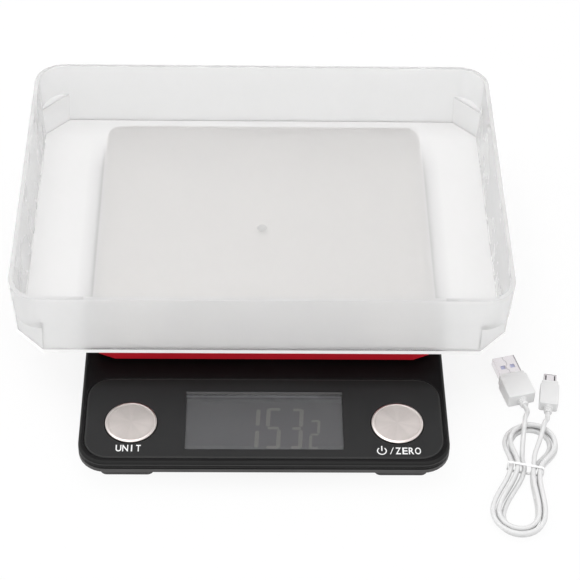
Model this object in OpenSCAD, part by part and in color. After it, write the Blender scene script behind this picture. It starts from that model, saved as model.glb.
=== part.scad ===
// Digital kitchen scale with a steel weighing plate, a clear tray and a charging cable.
// Millimetres. +Z is up, -Y is the front with the control panel, and Z = 0 is the table.

/* [Housing] */
// Width of the housing
body_w = 185; // [176:1:200]
// Length of the housing, front to back
body_l = 239; // [232:1:250]
// Corner radius of the housing in plan
body_r = 14; // [13:0.5:18]
// Height of the top deck above the table
deck_z = 18.2; // [17.8:0.1:20]
// Height of the flat underside above the table
under_z = 2.0; // [1.8:0.1:2.4]
// Height at which the side wall starts to tuck in
skirt_z = 10.9; // [10.4:0.1:12]
// How far the underside tucks in below the side wall
tuck = 8.5; // [7:0.5:9.5]
// Rounding of the top edge
edge_r = 2; // [1:0.25:2.5]
// Wall thickness of the two housing shells
wall = 2.2; // [1.8:0.1:2.5]
// Height of the joint line between the shells
split_z = 14.6; // [14.2:0.1:15]
// Width of the visible groove at the joint line
groove = 0.5; // [0.3:0.1:0.8]

/* [Control panel] */
// Margin between the panel and the housing's edge
panel_margin = 2.9; // [2.5:0.1:4]
// Depth of the panel, front to back
panel_l = 52.6; // [50:0.2:56]
// Corner radius of the panel
panel_r = 12.5; // [8:0.5:14]
// Thickness of the panel
panel_t = 1.5; // [1.2:0.1:1.6]
// How far the panel stands above the deck
panel_proud = 0.2; // [0.1:0.05:0.4]
// Width of the display window
window_w = 79; // [70:1:82]
// Depth of the display window, front to back
window_l = 38.2; // [34:0.2:39]
// Middle of the window behind the panel's front edge
window_y = 24.8; // [24:0.2:26]

/* [Buttons] */
// Diameter of each metal button
button_d = 26; // [20:0.5:27]
// Distance of each button's middle from the housing's side
button_side = 25.8; // [24.5:0.1:27]
// Middle of the buttons behind the panel's front edge
button_y = 22.6; // [21:0.2:25]
// Thickness of the metal cap
cap_t = 2.0; // [1.6:0.1:2.2]
// How far a button stands above the deck
cap_proud = 1.2; // [0.9:0.1:1.4]
// How far a button travels
press = 0.6; // [0.4:0.1:0.8]

/* [Weighing platform] */
// Margin between the steel plate and the housing's sides
plate_side = 3.1; // [2.5:0.1:4]
// Distance from the housing's front to the plate's front edge
plate_front = 65.85; // [64:0.05:68]
// Margin between the steel plate and the housing's back
plate_back = 2.45; // [2:0.05:4]
// Corner radius of the plate
plate_r = 9; // [6:0.5:12]
// Size of the angled corners of the carrier's flange
flange_r = 12; // [10:0.5:13]
// Height of the top of the plate
plate_z = 33.9; // [33:0.1:36]
// Depth of the plate's turned-down rim
rim_h = 4.1; // [3.5:0.1:4.8]
// Thickness of the steel sheet
sheet = 0.8; // [0.6:0.1:1]
// Gap between the deck and the carrier
deck_gap = 2.1; // [1.9:0.1:2.4]
// Height of the carrier's coloured flange
flange_h = 5.2; // [4.5:0.1:5.8]
// How far the neck above the flange is set back
neck_inset = 3; // [2:0.2:4]
// Wall thickness of the carrier
carrier_t = 2.2; // [1.8:0.1:2.6]
// Deflection of the load cell at full load
sink = 0.25; // [0.15:0.05:0.25]

/* [Load cell] */
// Length of the load cell
cell_l = 70; // [66:1:74]
// Width of the load cell
cell_w = 14; // [12:0.5:16]
// Height of the load cell
cell_h = 8; // [7.6:0.1:8.4]
// Distance between the two screws at each end of the cell
cell_pitch = 9; // [8:0.5:10]

/* [Tray] */
// Width of the tray at its rim
tray_w = 252.8; // [240:0.4:264]
// Length of the tray at its rim, front to back
tray_l = 184.9; // [178:0.1:192]
// Height of the tray
tray_h = 39.9; // [34:0.1:44]
// How much wider the rim is than the floor on each side
draft = 1.5; // [1:0.1:2.5]
// Wall thickness of the tray
tray_t = 2.3; // [1.8:0.1:2.6]
// Corner radius at the rim
tray_r = 15.6; // [13:0.2:18]
// Length of the chamfer across each lower corner
corner_cut = 14; // [12:0.5:15]
// Height of the stacking ledge above the tray's underside
ledge_z = 18.5; // [15:0.5:21]
// How far the tray stands forward of the plate's middle
tray_shift = 1.5; // [0:0.1:2]
// How far the tray stands to the left of the plate's middle
tray_left = 1.2; // [0:0.1:2]

/* [Feet] */
// Width of each rubber foot
foot_w = 23; // [18:0.5:25]
// Length of each rubber foot, front to back
foot_l = 9; // [8:0.5:11]
// Distance of the feet's middle from the housing's side
foot_side = 24; // [22.5:0.5:26.5]
// Distance of the foot bosses from the housing's front and back
foot_in = 6.3; // [6:0.1:7]

/* [Charging cable] */
// Diameter of the cord
cord_d = 2.5; // [2.4:0.05:2.6]
// Length of the hank from its waist to the middle of the upper bend
run_up = 18; // [18:0.25:20]
// Length of the hank from its waist to the middle of the lower bend
run_low = 28.5; // [28:0.5:31]
// Half the width of a hank's innermost loop
hank_b = 7.5; // [7.5:0.1:8]
// Half the width of the innermost loop at the waist
waist_b = 1.4; // [1.4:0.1:1.8]
// Step from one loop to the next
hank_step = 3.1; // [3.1:0.05:3.3]

/* [Hidden] */

black = [0.09, 0.09, 0.1];
red = [0.62, 0.07, 0.12];
steel = [0.8, 0.79, 0.77];
gold = [0.85, 0.68, 0.3];
clear = [0.93, 0.94, 0.94, 0.5];
white = [0.9, 0.9, 0.9];
eps = 0.01;

// The plate fills the deck behind the panel, and the buttons and feet follow the sides
plate_w = body_w - 2*plate_side;
plate_l = body_l - plate_front - plate_back;
plate_from_front = plate_front + plate_l/2;
button_x = body_w/2 - button_side;
foot_x = body_w/2 - foot_side;

// The origin lies in the middle of the box round the housing and the tray
overall_l = plate_from_front - tray_shift + tray_l/2;
front_y = -overall_l/2;
body_y = front_y + body_l/2;
plate_y = front_y + plate_from_front;
tray_y = plate_y - tray_shift;
panel_front = front_y + panel_margin;
panel_y = panel_front + panel_l/2;
screen_y = panel_front + window_y;
keys_y = panel_front + button_y;

// Levels from the table up
inner_floor = under_z + wall;
lower_top = split_z - groove/2;
upper_low = split_z + groove/2;
deck_under = deck_z - wall;
recess_z = deck_z - panel_t;
seat_t = 2;
seat_z = recess_z - seat_t;
lens_t = 1;
lens_drop = 0.3;
lens_z = recess_z - lens_t;
fit = 0.3;
slip = 0.15;
glass_t = 2;
glass_z = lens_z - fit - glass_t;
light_t = 2.2;
light_z = glass_z - 0.1 - light_t;
board_t = 1.6;
board_top = light_z - 0.2;
board_z = board_top - board_t;

// Tongue that keys the shells together
lip_t = 1;
lip_h = 1.4;
lip_gap = 0.1;

// Housing screws, two of them between the display and the buttons
boss_side = 22;
front_boss = [window_w/2 + 8, front_y + 13.5];
mid_boss = [body_w/2 - 16, plate_y - 38];
back_boss = [body_w/2 - boss_side, front_y + body_l - 17];
boss_points = [for (p = [front_boss, mid_boss, back_boss]) for (s = [-1, 1]) [s*p[0], p[1]]];

// Control board in the front of the housing
board_l = 42;
board_left = 14.5 - body_w/2;
board_right = body_w/2 - 5.6;
board_y = screen_y - 1;
boss_d = 7;
screw_d = 3;
head_d = 5.6;
screw_l = 8;
near_hole = front_boss[0] + 12.5;
far_hole = body_w/2 - 20.5;
board_holes = [[-far_hole, 17], [-near_hole, -14], [near_hole, -14], [far_hole, 17]];
boss_low = board_z - 1.6;

// Load cell and bracket
cell_z = inner_floor + 1;
cell_top = cell_z + cell_h;
cell_hole = 2.15;
cell_screw_r = 2;
cell_end = cell_l/2 - 6;
bracket_pad = 0.5;
bracket_t = 1.5;
pad_z = cell_top + 0.3;
bracket_z = pad_z + bracket_pad;
bracket_top = bracket_z + bracket_t;
bracket_w = 90;
bracket_l = cell_l + 8;
post_x = 35;
post_y = 22;
post_d = 9;
collar_h = 1.2;
post_points = [for (x = [-1, 1]) for (y = [-1, 1]) [x*post_x, plate_y + y*post_y]];

// Carrier levels
carrier_z = deck_z + deck_gap;
flange_top = carrier_z + flange_h;
carrier_top = plate_z - sheet;
side_gap = 0.7;
lug_gap = 0.3;
stop_gap = sink + 0.15;
stop_points = [for (x = [-1, 1]) for (y = [-1, 1]) [x*(plate_w/2 - 18), plate_y + y*(plate_l/2 - 18)]];

// Buttons
cap_top = deck_z + cap_proud;
cap_z = cap_top - cap_t;
button_gap = 0.5;
well_z = seat_z + 1;
stem_d = 7.6;
stem_clear = 0.3;
collar_t = 0.7;
collar_gap = 0.2;
plunger_top = seat_z - collar_gap - collar_t;
switch_h = plunger_top - press - 0.1 - board_top;
switch_w = 6;
plunger_r = 1.7;

// Feet
boss_z = 1.2;
foot_h = 3;
foot_y = foot_in + 6.5;
foot_points = [for (x = [-1, 1]) for (y = [front_y + foot_y, front_y + body_l - foot_y]) [x*foot_x, y]];

// Charging socket in the right-hand wall
socket_w = 7.6;
socket_h = 2.8;
socket_d = 6;
socket_y = board_y + 6;
socket_x = body_w/2 - 0.4;

// Battery pack
pack_side = 23.5;
pack_clear = 12;
pack_l = 34;
pack_t = 5;
pack_w = body_w/2 - pack_side - cell_w/2 - pack_clear;
pack_at = [pack_side + pack_w/2 - body_w/2, plate_y - 50, inner_floor];

// Ribs on the floor of the lower housing
rib_t = 1.4;
rib_h = 3;
rib_back = 19.35;
rib_step = 22;
rib_x = body_w/2 - 34.5;
rib_l = plate_l/2 - rib_back + 20;

// Chips under the board
chip_w = 12;
chip_h = 1.6;
chip_x = 40;

// Where the two plugs and the hank lie on the table
usb_a_at = [134, -66.7];
usb_a_turn = 105;
usb_a_z = 4;
usb_a_body = [17, 14.8, 8];
usb_a_metal = [12.2, 12, 4.5];
relief_l = 4;
relief_d = 5.2;
micro_at = [147.3, -71];
micro_turn = 81;
micro_z = 3.1;
micro_body = [17, 9.8, 6.2];
micro_metal = [5.4, 6.85, 1.8];
hank_at = [132, -112.6];
hank_turn = 77;
tie_t = 0.7;
tie_w = 1.2;
tie_gap = 0.3;
lay_h = cord_d + 0.5;
rings_a_loop = 24;
waist_spread = 0.08;
turns_in = 2;
turns_out = 1.5;
// Where each end of the cord passes over the bends and down to the waist, in the hank's frame
over_in = [[29.5, -5.2, 7.5], [17, -4.4, 4.6], [8, -3.4, 2.2]];
over_out = [[9, 2.6, 5.3], [19, 4.0, 6.9], [29, 4.9, 7.5]];

function rounded(w, l, r, n = 8) = [for (c = [[1, 1, 0], [-1, 1, 90], [-1, -1, 180], [1, -1, 270]])
    for (i = [0:n]) [c[0]*(w/2 - r) + r*cos(c[2] + 90*i/n), c[1]*(l/2 - r) + r*sin(c[2] + 90*i/n)]];

module slab(w, l, h, r, n = 8) {
    linear_extrude(height = h) polygon(rounded(w, l, r, n));
}

// A prism with the housing's plan, set in by a distance
module inset_slab(d, h) {
    translate([0, body_y, 0]) slab(body_w - 2*d, body_l - 2*d, h, body_r - d);
}

// Closed form through four equal corner posts, each turned from one profile
module cornered(w, l, r, profile, sides = 32) {
    hull()
        for (x = [-1, 1])
            for (y = [-1, 1])
                translate([x*(w/2 - r), y*(l/2 - r), 0])
                    rotate_extrude($fn = sides) polygon(profile);
}

function arc(cx, cz, r, a0, a1, n) = [for (i = [0:n]) [cx + r*cos(a0 + (a1 - a0)*i/n), cz + r*sin(a0 + (a1 - a0)*i/n)]];

// The tucked-in side wall as a line offset inwards by d, cut by the wall and by the floor
side_h = skirt_z - under_z;
side_len = sqrt(side_h*side_h + tuck*tuck);
function off_r(d) = body_r - d*side_h/side_len;
function off_z(d) = skirt_z + d*tuck/side_len;
function knee_z(d) = off_z(d) + side_h*(body_r - d - off_r(d))/tuck;
function toe_r(d) = off_r(d) + tuck*(under_z + d - off_z(d))/side_h;

module lower_form(d, top) {
    translate([0, body_y, 0])
        cornered(body_w, body_l, body_r,
            [[0, under_z + d], [toe_r(d), under_z + d], [body_r - d, knee_z(d)], [body_r - d, top], [0, top]]);
}

module upper_form() {
    translate([0, body_y, 0])
        cornered(body_w, body_l, body_r,
            concat([[0, upper_low], [body_r, upper_low]],
                arc(body_r - edge_r, deck_z - edge_r, edge_r, 0, 90, 4), [[0, deck_z]]));
}

module tongue(clearance) {
    difference() {
        inset_slab(wall - lip_t - clearance, lip_h + clearance + groove);
        translate([0, 0, -1]) inset_slab(wall + clearance, lip_h + groove + 3);
    }
}

// Keeps a screw boss tied to the floor with four thin ribs
module ribbed_boss(d, h, span = 5) {
    cylinder(h = h, d = d, $fn = 32);
    for (a = [0, 90])
        rotate([0, 0, a]) translate([-d/2 - span/2, -0.6, 0]) cube([d + span, 1.2, h*0.7]);
}

module lower_housing() {
    color(black) difference() {
        union() {
            difference() {
                union() {
                    lower_form(0, lower_top);
                    translate([0, 0, lower_top - eps]) inset_slab(wall - lip_t, lip_h + eps);
                }
                lower_form(wall, lower_top + lip_h + 1);
            }
            foot_bosses();
            translate([0, 0, inner_floor - eps]) floor_bosses();
            floor_ribs();
        }
        foot_pockets();
        for (p = boss_points)
            translate([p[0], p[1], under_z - 1]) {
                cylinder(h = 4.2, d = head_d + 0.6, $fn = 32);
                cylinder(h = 12, d = screw_d + 0.4, $fn = 32);
            }
        cell_floor_holes();
        for (p = board_holes)
            translate([p[0], board_y + p[1], inner_floor - 0.4]) cylinder(h = 12, d = 1.8, $fn = 24);
        socket_opening();
    }
}

module foot_bosses() {
    for (p = foot_points)
        translate([p[0], p[1], boss_z]) slab(foot_w + 4, foot_l + 4, inner_floor - boss_z + 0.5, 3.5);
}

module foot_pockets() {
    for (p = foot_points)
        translate([p[0], p[1], boss_z - 1]) slab(foot_w + 2*slip, foot_l + 2*slip, foot_h - boss_z + 1 + 0.1, 2.5);
}

module floor_bosses() {
    for (p = boss_points)
        translate([p[0], p[1], 0]) ribbed_boss(head_d + 4, boss_low - inner_floor - 0.2);
    for (p = board_holes)
        translate([p[0], board_y + p[1], 0]) ribbed_boss(5, board_z - inner_floor, 3);
    translate([0, plate_y - cell_l/2 + 9.5, 0]) slab(cell_w + 8, 23, cell_z - inner_floor, 2);
}

module cell_floor_holes() {
    for (i = [0, 1])
        translate([0, plate_y - cell_end + i*cell_pitch, under_z - 1]) {
            cylinder(h = 3, d = 7.8, $fn = 32);
            cylinder(h = 8, d = 2*cell_hole, $fn = 32);
        }
}

// Ribs that stiffen the floor and hold the battery pack
module floor_ribs() {
    span = body_w - 2*boss_side;
    rear = plate_y + plate_l/2 - rib_back;
    for (y = [rear - rib_step, rear])
        translate([-span/2, y, inner_floor - eps]) cube([span, rib_t, rib_h]);
    for (x = [-rib_x, rib_x])
        translate([x - rib_t/2, rear - rib_l, inner_floor - eps]) cube([rib_t, rib_l, rib_h]);
    hold_l = pack_l - 20;
    hold_w = pack_w - 14;
    for (x = [-1, 1])
        translate([pack_at[0] + x*(pack_w/2 + 1.1) - 0.6, pack_at[1] - hold_l, inner_floor - eps])
            cube([1.2, hold_l, 3.4]);
    for (y = [-1, 1])
        translate([pack_at[0] - hold_w/2, pack_at[1] + y*(pack_l/2 + 1.1) - 0.6, inner_floor - eps])
            cube([hold_w, 1.2, 3.4]);
}

module socket_opening() {
    translate([body_w/2 - 5, socket_y - socket_w/2 - slip, board_top - slip])
        cube([8, socket_w + 2*slip, socket_h + 2*slip]);
}

module upper_housing() {
    color(black) difference() {
        union() {
            difference() {
                upper_form();
                translate([0, 0, upper_low - 1]) inset_slab(wall, deck_under - upper_low + 1);
            }
            panel_seat();
            for (p = boss_points)
                translate([p[0], p[1], boss_low]) cylinder(h = deck_under - boss_low + eps, d = boss_d, $fn = 32);
            translate([0, 0, deck_z - eps]) deck_collars();
        }
        translate([0, 0, upper_low - 1]) tongue_groove();
        panel_recess();
        for (p = boss_points)
            translate([p[0], p[1], boss_low - 1]) cylinder(h = 8.5, d = screw_d + 0.1, $fn = 24);
        for (p = post_points)
            translate([p[0], p[1], deck_under - 1]) cylinder(h = 9, d = post_d + 3, $fn = 48);
        for (i = [0, 1])
            translate([0, plate_y + cell_end - i*cell_pitch, deck_under - 1]) cylinder(h = 9, d = 8.6, $fn = 32);
    }
}

// Slab under the panel that carries the lens, the display and the button wells
module panel_seat() {
    translate([0, 0, seat_z]) intersection() {
        inset_slab(wall + 0.4, recess_z - seat_z + 0.3);
        translate([-body_w/2, front_y, -1]) cube([body_w, panel_margin + panel_l + 3, 6]);
    }
}

module tongue_groove() {
    difference() {
        inset_slab(wall - lip_t - lip_gap, lower_top + lip_h + 0.2 - upper_low + 1);
        translate([0, 0, -1]) inset_slab(wall + 0.3, 6);
    }
}

module panel_recess() {
    translate([0, panel_y, recess_z])
        slab(body_w - 2*panel_margin, panel_l, panel_t + 5, panel_r);
    translate([0, screen_y, lens_z]) slab(window_w + 4, window_l + 3.4, lens_t + eps, 1.5);
    translate([-window_w/2 - 1, screen_y - window_l/2 - 0.7, seat_z - 1]) cube([window_w + 2, window_l + 1.4, 5]);
    for (s = [-1, 1])
        translate([s*button_x, keys_y, 0]) {
            translate([0, 0, well_z]) cylinder(h = 6, d = button_d + 2*button_gap, $fn = 96);
            translate([0, 0, seat_z - 1]) cylinder(h = 5, d = stem_d + 2*stem_clear, $fn = 48);
        }
}

// Drip collars round the post holes, and four stops that take an overload
module deck_collars() {
    for (p = post_points)
        translate([p[0], p[1], 0]) cylinder(h = collar_h, d = post_d + 6, $fn = 48);
    for (p = stop_points)
        translate([p[0], p[1], 0]) cylinder(h = deck_gap - stop_gap, d = 7, $fn = 32);
}

module rubber_feet() {
    color([0.16, 0.16, 0.17])
        for (p = foot_points)
            translate([p[0], p[1], 0]) difference() {
                slab(foot_w, foot_l, foot_h, 2.5);
                for (i = [-1:1])
                    translate([i*foot_w/4 - 0.6, -foot_l/2 + 1.2, -1]) cube([1.2, foot_l - 2.4, 1.5]);
            }
}

// Screw along +Z with its head at the bottom and a cross recess in it
module tapping_screw(d, l, hd, hh) {
    difference() {
        union() {
            cylinder(h = hh, d = hd, $fn = 32);
            cylinder(h = hh + l, d = d, $fn = 24);
        }
        for (a = [0, 90])
            rotate([0, 0, a]) translate([-hd/4, -0.35, -1]) cube([hd/2, 0.7, 1.8]);
    }
}

module housing_screws() {
    color(steel)
        for (p = boss_points)
            translate([p[0], p[1], under_z + 1.3]) tapping_screw(screw_d, screw_l, head_d, 1.9);
}

module control_panel() {
    top = deck_z + panel_proud;
    w = body_w - 2*panel_margin - 2*slip;
    l = panel_l - 2*slip;
    r = panel_r - slip;
    bevel = 0.5;
    color([0.2, 0.2, 0.21]) difference() {
        translate([0, panel_y, 0])
            cornered(w, l, r, [[0, recess_z], [r, recess_z], [r, top - bevel], [r - bevel, top], [0, top]]);
        translate([-window_w/2, screen_y - window_l/2, recess_z - 1]) cube([window_w, window_l, panel_t + 4]);
        for (s = [-1, 1])
            translate([s*button_x, keys_y, recess_z - 1])
                cylinder(h = panel_t + 4, d = button_d + 2*button_gap, $fn = 96);
    }
}

module display_lens() {
    color([0.42, 0.42, 0.44]) translate([0, screen_y, lens_z]) {
        slab(window_w + 3.6, window_l + 3, lens_t, 1.3);
        slab(window_w - 2*slip, window_l - 2*slip, lens_t + panel_t + panel_proud - lens_drop, 0.5);
    }
}

module lcd_glass() {
    color([0.5, 0.52, 0.5])
        translate([0, screen_y, glass_z]) {
            slab(window_w + 1, window_l + 0.8, glass_t/2, 0.4);
            translate([-window_w/2 - 0.5, -window_l/2 - 0.4, glass_t/2 - eps])
                cube([window_w + 1, window_l - 1.6, glass_t/2 + eps]);
        }
}

module lcd_backlight() {
    color(white)
        translate([0, screen_y, light_z]) slab(window_w, window_l - 5.6, light_t, 0.6);
}

module lcd_contact_strips() {
    color([0.75, 0.4, 0.5])
        for (s = [-1, 1])
            translate([-window_w/2 + 2, screen_y + s*(window_l/2 - 1.2) - 0.9, board_top])
                cube([window_w - 4, 1.8, glass_z - board_top]);
}

module main_board() {
    color([0.1, 0.35, 0.2]) difference() {
        intersection() {
            translate([board_left, board_y - board_l/2, board_z])
                cube([board_right - board_left, board_l, board_t]);
            translate([0, 0, board_z - 1]) inset_slab(5.5, board_t + 2);
        }
        for (p = board_holes)
            translate([p[0], board_y + p[1], board_z - 1]) cylinder(h = board_t + 2, d = 2.8, $fn = 24);
        for (s = [-1, 1])
            translate([s*front_boss[0], front_boss[1], board_z - 1])
                cylinder(h = board_t + 2, d = boss_d + 1.2, $fn = 32);
    }
}

module board_chips() {
    color([0.12, 0.12, 0.13])
        translate([0, board_y, board_z]) {
            translate([-chip_x, 2, -chip_h]) cube([chip_w, chip_w, chip_h]);
            translate([8, -10, -1.2]) cube([7, 5, 1.2]);
            translate([26, 4, -2.2]) cube([6, 6, 2.2]);
            translate([-chip_x, -6, -1.4]) cube([5, 4, 1.4]);
            translate([-near_hole - 6.5, -9, -2]) cylinder(h = 2, d = 5, $fn = 24);
        }
}

module board_screws() {
    color(steel)
        for (p = board_holes)
            translate([p[0], board_y + p[1], board_top + 1.2]) mirror([0, 0, 1]) tapping_screw(1.7, 5, 4, 1.2);
}

module key_switches() {
    color(black)
        for (s = [-1, 1])
            translate([s*button_x, keys_y, board_top]) difference() {
                translate([-switch_w/2, -switch_w/2, 0]) cube([switch_w, switch_w, switch_h]);
                translate([0, 0, 0.3]) cylinder(h = switch_h, r = plunger_r + 0.05, $fn = 32);
            }
}

module usb_socket() {
    color(steel)
        translate([socket_x - socket_d, socket_y, board_top]) difference() {
            translate([0, -socket_w/2, 0]) cube([socket_d, socket_w, socket_h]);
            difference() {
                translate([0.6, -socket_w/2 + 0.3, 0.3]) cube([socket_d, socket_w - 0.6, socket_h - 0.6]);
                translate([0, -1.9, 1.5]) cube([socket_d - 1.2, 3.8, 0.6]);
            }
        }
}

module battery() {
    color([0.7, 0.72, 0.75])
        translate(pack_at) slab(pack_w, pack_l, pack_t, 2.4);
}

// Round lead of two bends that lies on the floor and rises to the board's underside
module lead(points, d) {
    for (i = [0:len(points) - 2])
        hull() {
            translate(points[i]) sphere(d = d, $fn = 12);
            translate(points[i + 1]) sphere(d = d, $fn = 12);
        }
}

lead_d = 1.6;

module battery_lead() {
    x0 = pack_at[0] + pack_w/2 + lead_d/2;
    z0 = inner_floor + lead_d/2 + 0.4;
    color([0.7, 0.1, 0.1])
        lead([[x0, pack_at[1] + 4, z0 + 1.2], [x0 + 3, pack_at[1] + 4, z0], [x0 + 6, pack_at[1] - 12, z0],
            [x0 + 6, board_y + 12, z0 + 0.6], [x0 + 6, board_y + 8, board_z - lead_d/2]], lead_d);
}

module load_cell() {
    web = cell_h/2 - 3;
    color([0.78, 0.79, 0.8]) translate([0, plate_y, cell_z]) difference() {
        translate([-cell_w/2, -cell_l/2, 0]) cube([cell_w, cell_l, cell_h]);
        for (s = [-1, 1])
            translate([-cell_w/2 - 1, s*6, cell_h/2]) rotate([0, 90, 0])
                cylinder(h = cell_w + 2, r = cell_h/2 - web, $fn = 48);
        translate([-cell_w/2 - 1, -6, cell_h/2 - 1]) cube([cell_w + 2, 12, 2]);
        for (s = [-1, 1])
            for (i = [0, 1])
                translate([0, s*(cell_end - i*cell_pitch), -1]) cylinder(h = cell_h + 2, r = cell_hole, $fn = 32);
    }
}

module load_cell_lead() {
    y0 = plate_y - cell_l/2 - lead_d/2;
    z0 = inner_floor + lead_d/2 + 0.4;
    color([0.85, 0.85, 0.85])
        lead([[3, y0, cell_z + cell_h/2], [3, y0 - 4, z0 + 0.8], [3, y0 - 14, z0],
            [3, board_y + 14, z0 + 0.6], [3, board_y + 11, board_z - lead_d/2]], lead_d);
}

module load_cell_screws() {
    color(steel)
        for (i = [0, 1])
            translate([0, plate_y - cell_end + i*cell_pitch, under_z + 0.3])
                tapping_screw(2*cell_screw_r, 8, 7.2, 1.7);
}

module load_bracket() {
    color([0.68, 0.7, 0.72]) translate([0, plate_y, 0]) difference() {
        union() {
            translate([0, 0, bracket_z]) slab(bracket_w, bracket_l, bracket_t, 6);
            translate([0, cell_l/2 - 10, pad_z]) slab(cell_w + 4, 19, bracket_pad + eps, 2);
        }
        for (x = [-1, 1])
            translate([x*20, 0, bracket_z - 1]) slab(12, bracket_l - 26, bracket_t + 2, 6);
        for (x = [-1, 1])
            for (y = [-1, 1])
                translate([x*post_x, y*post_y, bracket_z - 1]) cylinder(h = bracket_t + 2, d = screw_d + 0.4, $fn = 32);
        for (i = [0, 1])
            translate([0, cell_end - i*cell_pitch, pad_z - 1])
                cylinder(h = 4, r = cell_screw_r + 0.1, $fn = 32);
    }
}

module bracket_screws() {
    color(steel)
        for (i = [0, 1])
            translate([0, plate_y + cell_end - i*cell_pitch, bracket_top + 1.7])
                mirror([0, 0, 1]) tapping_screw(2*cell_screw_r, 7.4, 7.2, 1.7);
}

// Form of the carrier or of its hollow: a rounded flange below and a set-back neck above
module carrier_form(d, low, top) {
    w = plate_w - 2*side_gap;
    l = plate_l - 2*side_gap;
    r = plate_r - side_gap;
    soft = 1.2;
    translate([0, plate_y, 0]) {
        cornered(w - 2*d, l - 2*d, flange_r - d,
            concat([[0, low]], arc(flange_r - d - soft, low + soft, soft, -90, 0, 3),
                [[flange_r - d, flange_top - d], [0, flange_top - d]]), 8);
        translate([0, 0, low + 2])
            slab(w - 2*(neck_inset + d), l - 2*(neck_inset + d), top - low - 2, r - neck_inset - d/2);
    }
}

module platform_carrier() {
    color(red) difference() {
        union() {
            difference() {
                carrier_form(0, carrier_z, carrier_top);
                carrier_form(carrier_t, carrier_z - 3, carrier_top - carrier_t);
            }
            carrier_ribs();
            for (p = post_points)
                translate([p[0], p[1], bracket_top])
                    cylinder(h = carrier_top - carrier_t - bracket_top + eps, d = post_d, $fn = 48);
            for (p = stop_points)
                translate([p[0], p[1], carrier_z])
                    cylinder(h = carrier_top - carrier_t - carrier_z + eps, d = 8, $fn = 32);
        }
        for (p = post_points)
            translate([p[0], p[1], bracket_top - 1]) cylinder(h = 9, d = screw_d, $fn = 24);
    }
}

// Ribs under the carrier's top, clear of the deck, and lugs that locate the steel plate
module carrier_ribs() {
    half_w = plate_w/2 - side_gap - neck_inset;
    half_l = plate_l/2 - side_gap - neck_inset;
    w = 2*half_w - carrier_t;
    l = 2*half_l - carrier_t;
    rib_h = carrier_top - carrier_t - flange_top + eps;
    for (x = [-post_x, 0, post_x])
        translate([x - 0.8, plate_y - l/2, flange_top]) cube([1.6, l, rib_h]);
    for (y = [-post_y, post_y])
        translate([-w/2, plate_y + y - 0.8, flange_top]) cube([w, 1.6, rib_h]);
    reach = neck_inset + side_gap - sheet - lug_gap;
    lug_h = 2;
    lug_z = carrier_top - 1.6 - lug_h;
    for (x = [-1, 1])
        for (y = [-50, 50])
            translate([x*(half_w + reach/2 - 0.5) - (reach + 1)/2, plate_y + y - 3, lug_z])
                cube([reach + 1, 6, lug_h]);
    for (y = [-1, 1])
        for (x = [-50, 50])
            translate([x - 3, plate_y + y*(half_l + reach/2 - 0.5) - (reach + 1)/2, lug_z])
                cube([6, reach + 1, lug_h]);
}

module carrier_screws() {
    color(steel)
        for (p = post_points)
            translate([p[0], p[1], bracket_z - 1.6]) tapping_screw(screw_d - 0.1, screw_l, head_d, 1.6);
}

module steel_plate() {
    bend = 2.2;
    low = plate_z - rim_h;
    color(steel) translate([0, plate_y, 0]) difference() {
        cornered(plate_w, plate_l, plate_r,
            concat([[0, low], [plate_r, low]], arc(plate_r - bend, plate_z - bend, bend, 0, 90, 5), [[0, plate_z]]));
        cornered(plate_w - 2*sheet, plate_l - 2*sheet, plate_r - sheet,
            concat([[0, low - 1], [plate_r - sheet, low - 1]],
                arc(plate_r - bend, plate_z - bend, bend - sheet, 0, 90, 5), [[0, plate_z - sheet]]));
    }
}

// Drafted form of the tray set in by d, with its lower corners cut back below the ledge
module tray_form(d, low, cut_top) {
    floor_w = tray_w - 2*draft;
    floor_l = tray_l - 2*draft;
    difference() {
        hull() {
            translate([0, 0, low]) slab(floor_w - 2*d, floor_l - 2*d, eps, tray_r - d);
            translate([0, 0, tray_h]) slab(tray_w - 2*d, tray_l - 2*d, eps, tray_r - d);
        }
        for (x = [-1, 1])
            for (y = [-1, 1])
                corner_block(x, y, floor_w/2 - d*0.707, floor_l/2 - d*0.707, cut_top);
    }
}

// Block outside the 45 degree line that cuts a lower corner back
module corner_block(x, y, a, b, top) {
    leg = corner_cut + draft;
    grow = 6;
    translate([0, 0, -1]) linear_extrude(height = top + 1)
        polygon([[x*(a - leg + draft - grow), y*(b + grow)], [x*(a + grow), y*(b - leg + draft - grow)],
            [x*(a + grow), y*(b + grow)]]);
}

module tray() {
    color(clear) translate([-tray_left, tray_y, plate_z]) difference() {
        tray_form(0, 0, ledge_z);
        translate([0, 0, 2*eps]) tray_form(tray_t, tray_t, ledge_z + tray_t);
        translate([0, 0, tray_t - 0.3]) cylinder(h = 1, d = 3, $fn = 32);
    }
}

module button_cap(s) {
    bevel = 1;
    color(steel) translate([s*button_x, keys_y, 0])
        rotate_extrude($fn = 96)
            polygon([[0, cap_z], [button_d/2, cap_z], [button_d/2, cap_top - 0.5],
                [button_d/2 - bevel, cap_top], [button_d/2 - bevel - 0.3, cap_top - 0.1], [0, cap_top - 0.1]]);
}

// Guided stem with a snap collar under the seat
module button_stem(s) {
    color(black) translate([s*button_x, keys_y, 0]) {
        translate([0, 0, plunger_top]) cylinder(h = cap_z - plunger_top, d = stem_d, $fn = 48);
        translate([0, 0, plunger_top]) cylinder(h = collar_t, d = stem_d + 2.4, $fn = 48);
    }
}

module switch_plunger(s) {
    color([0.8, 0.8, 0.8])
        translate([s*button_x, keys_y, board_top + 1.1])
            cylinder(h = plunger_top - board_top - 1.1, r = plunger_r, $fn = 32);
}

module unit_button_cap() {
    button_cap(-1);
}

module unit_button_stem() {
    button_stem(-1);
}

module unit_switch_plunger() {
    switch_plunger(-1);
}

module zero_button_cap() {
    button_cap(1);
}

module zero_button_stem() {
    button_stem(1);
}

module zero_switch_plunger() {
    switch_plunger(1);
}

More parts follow.
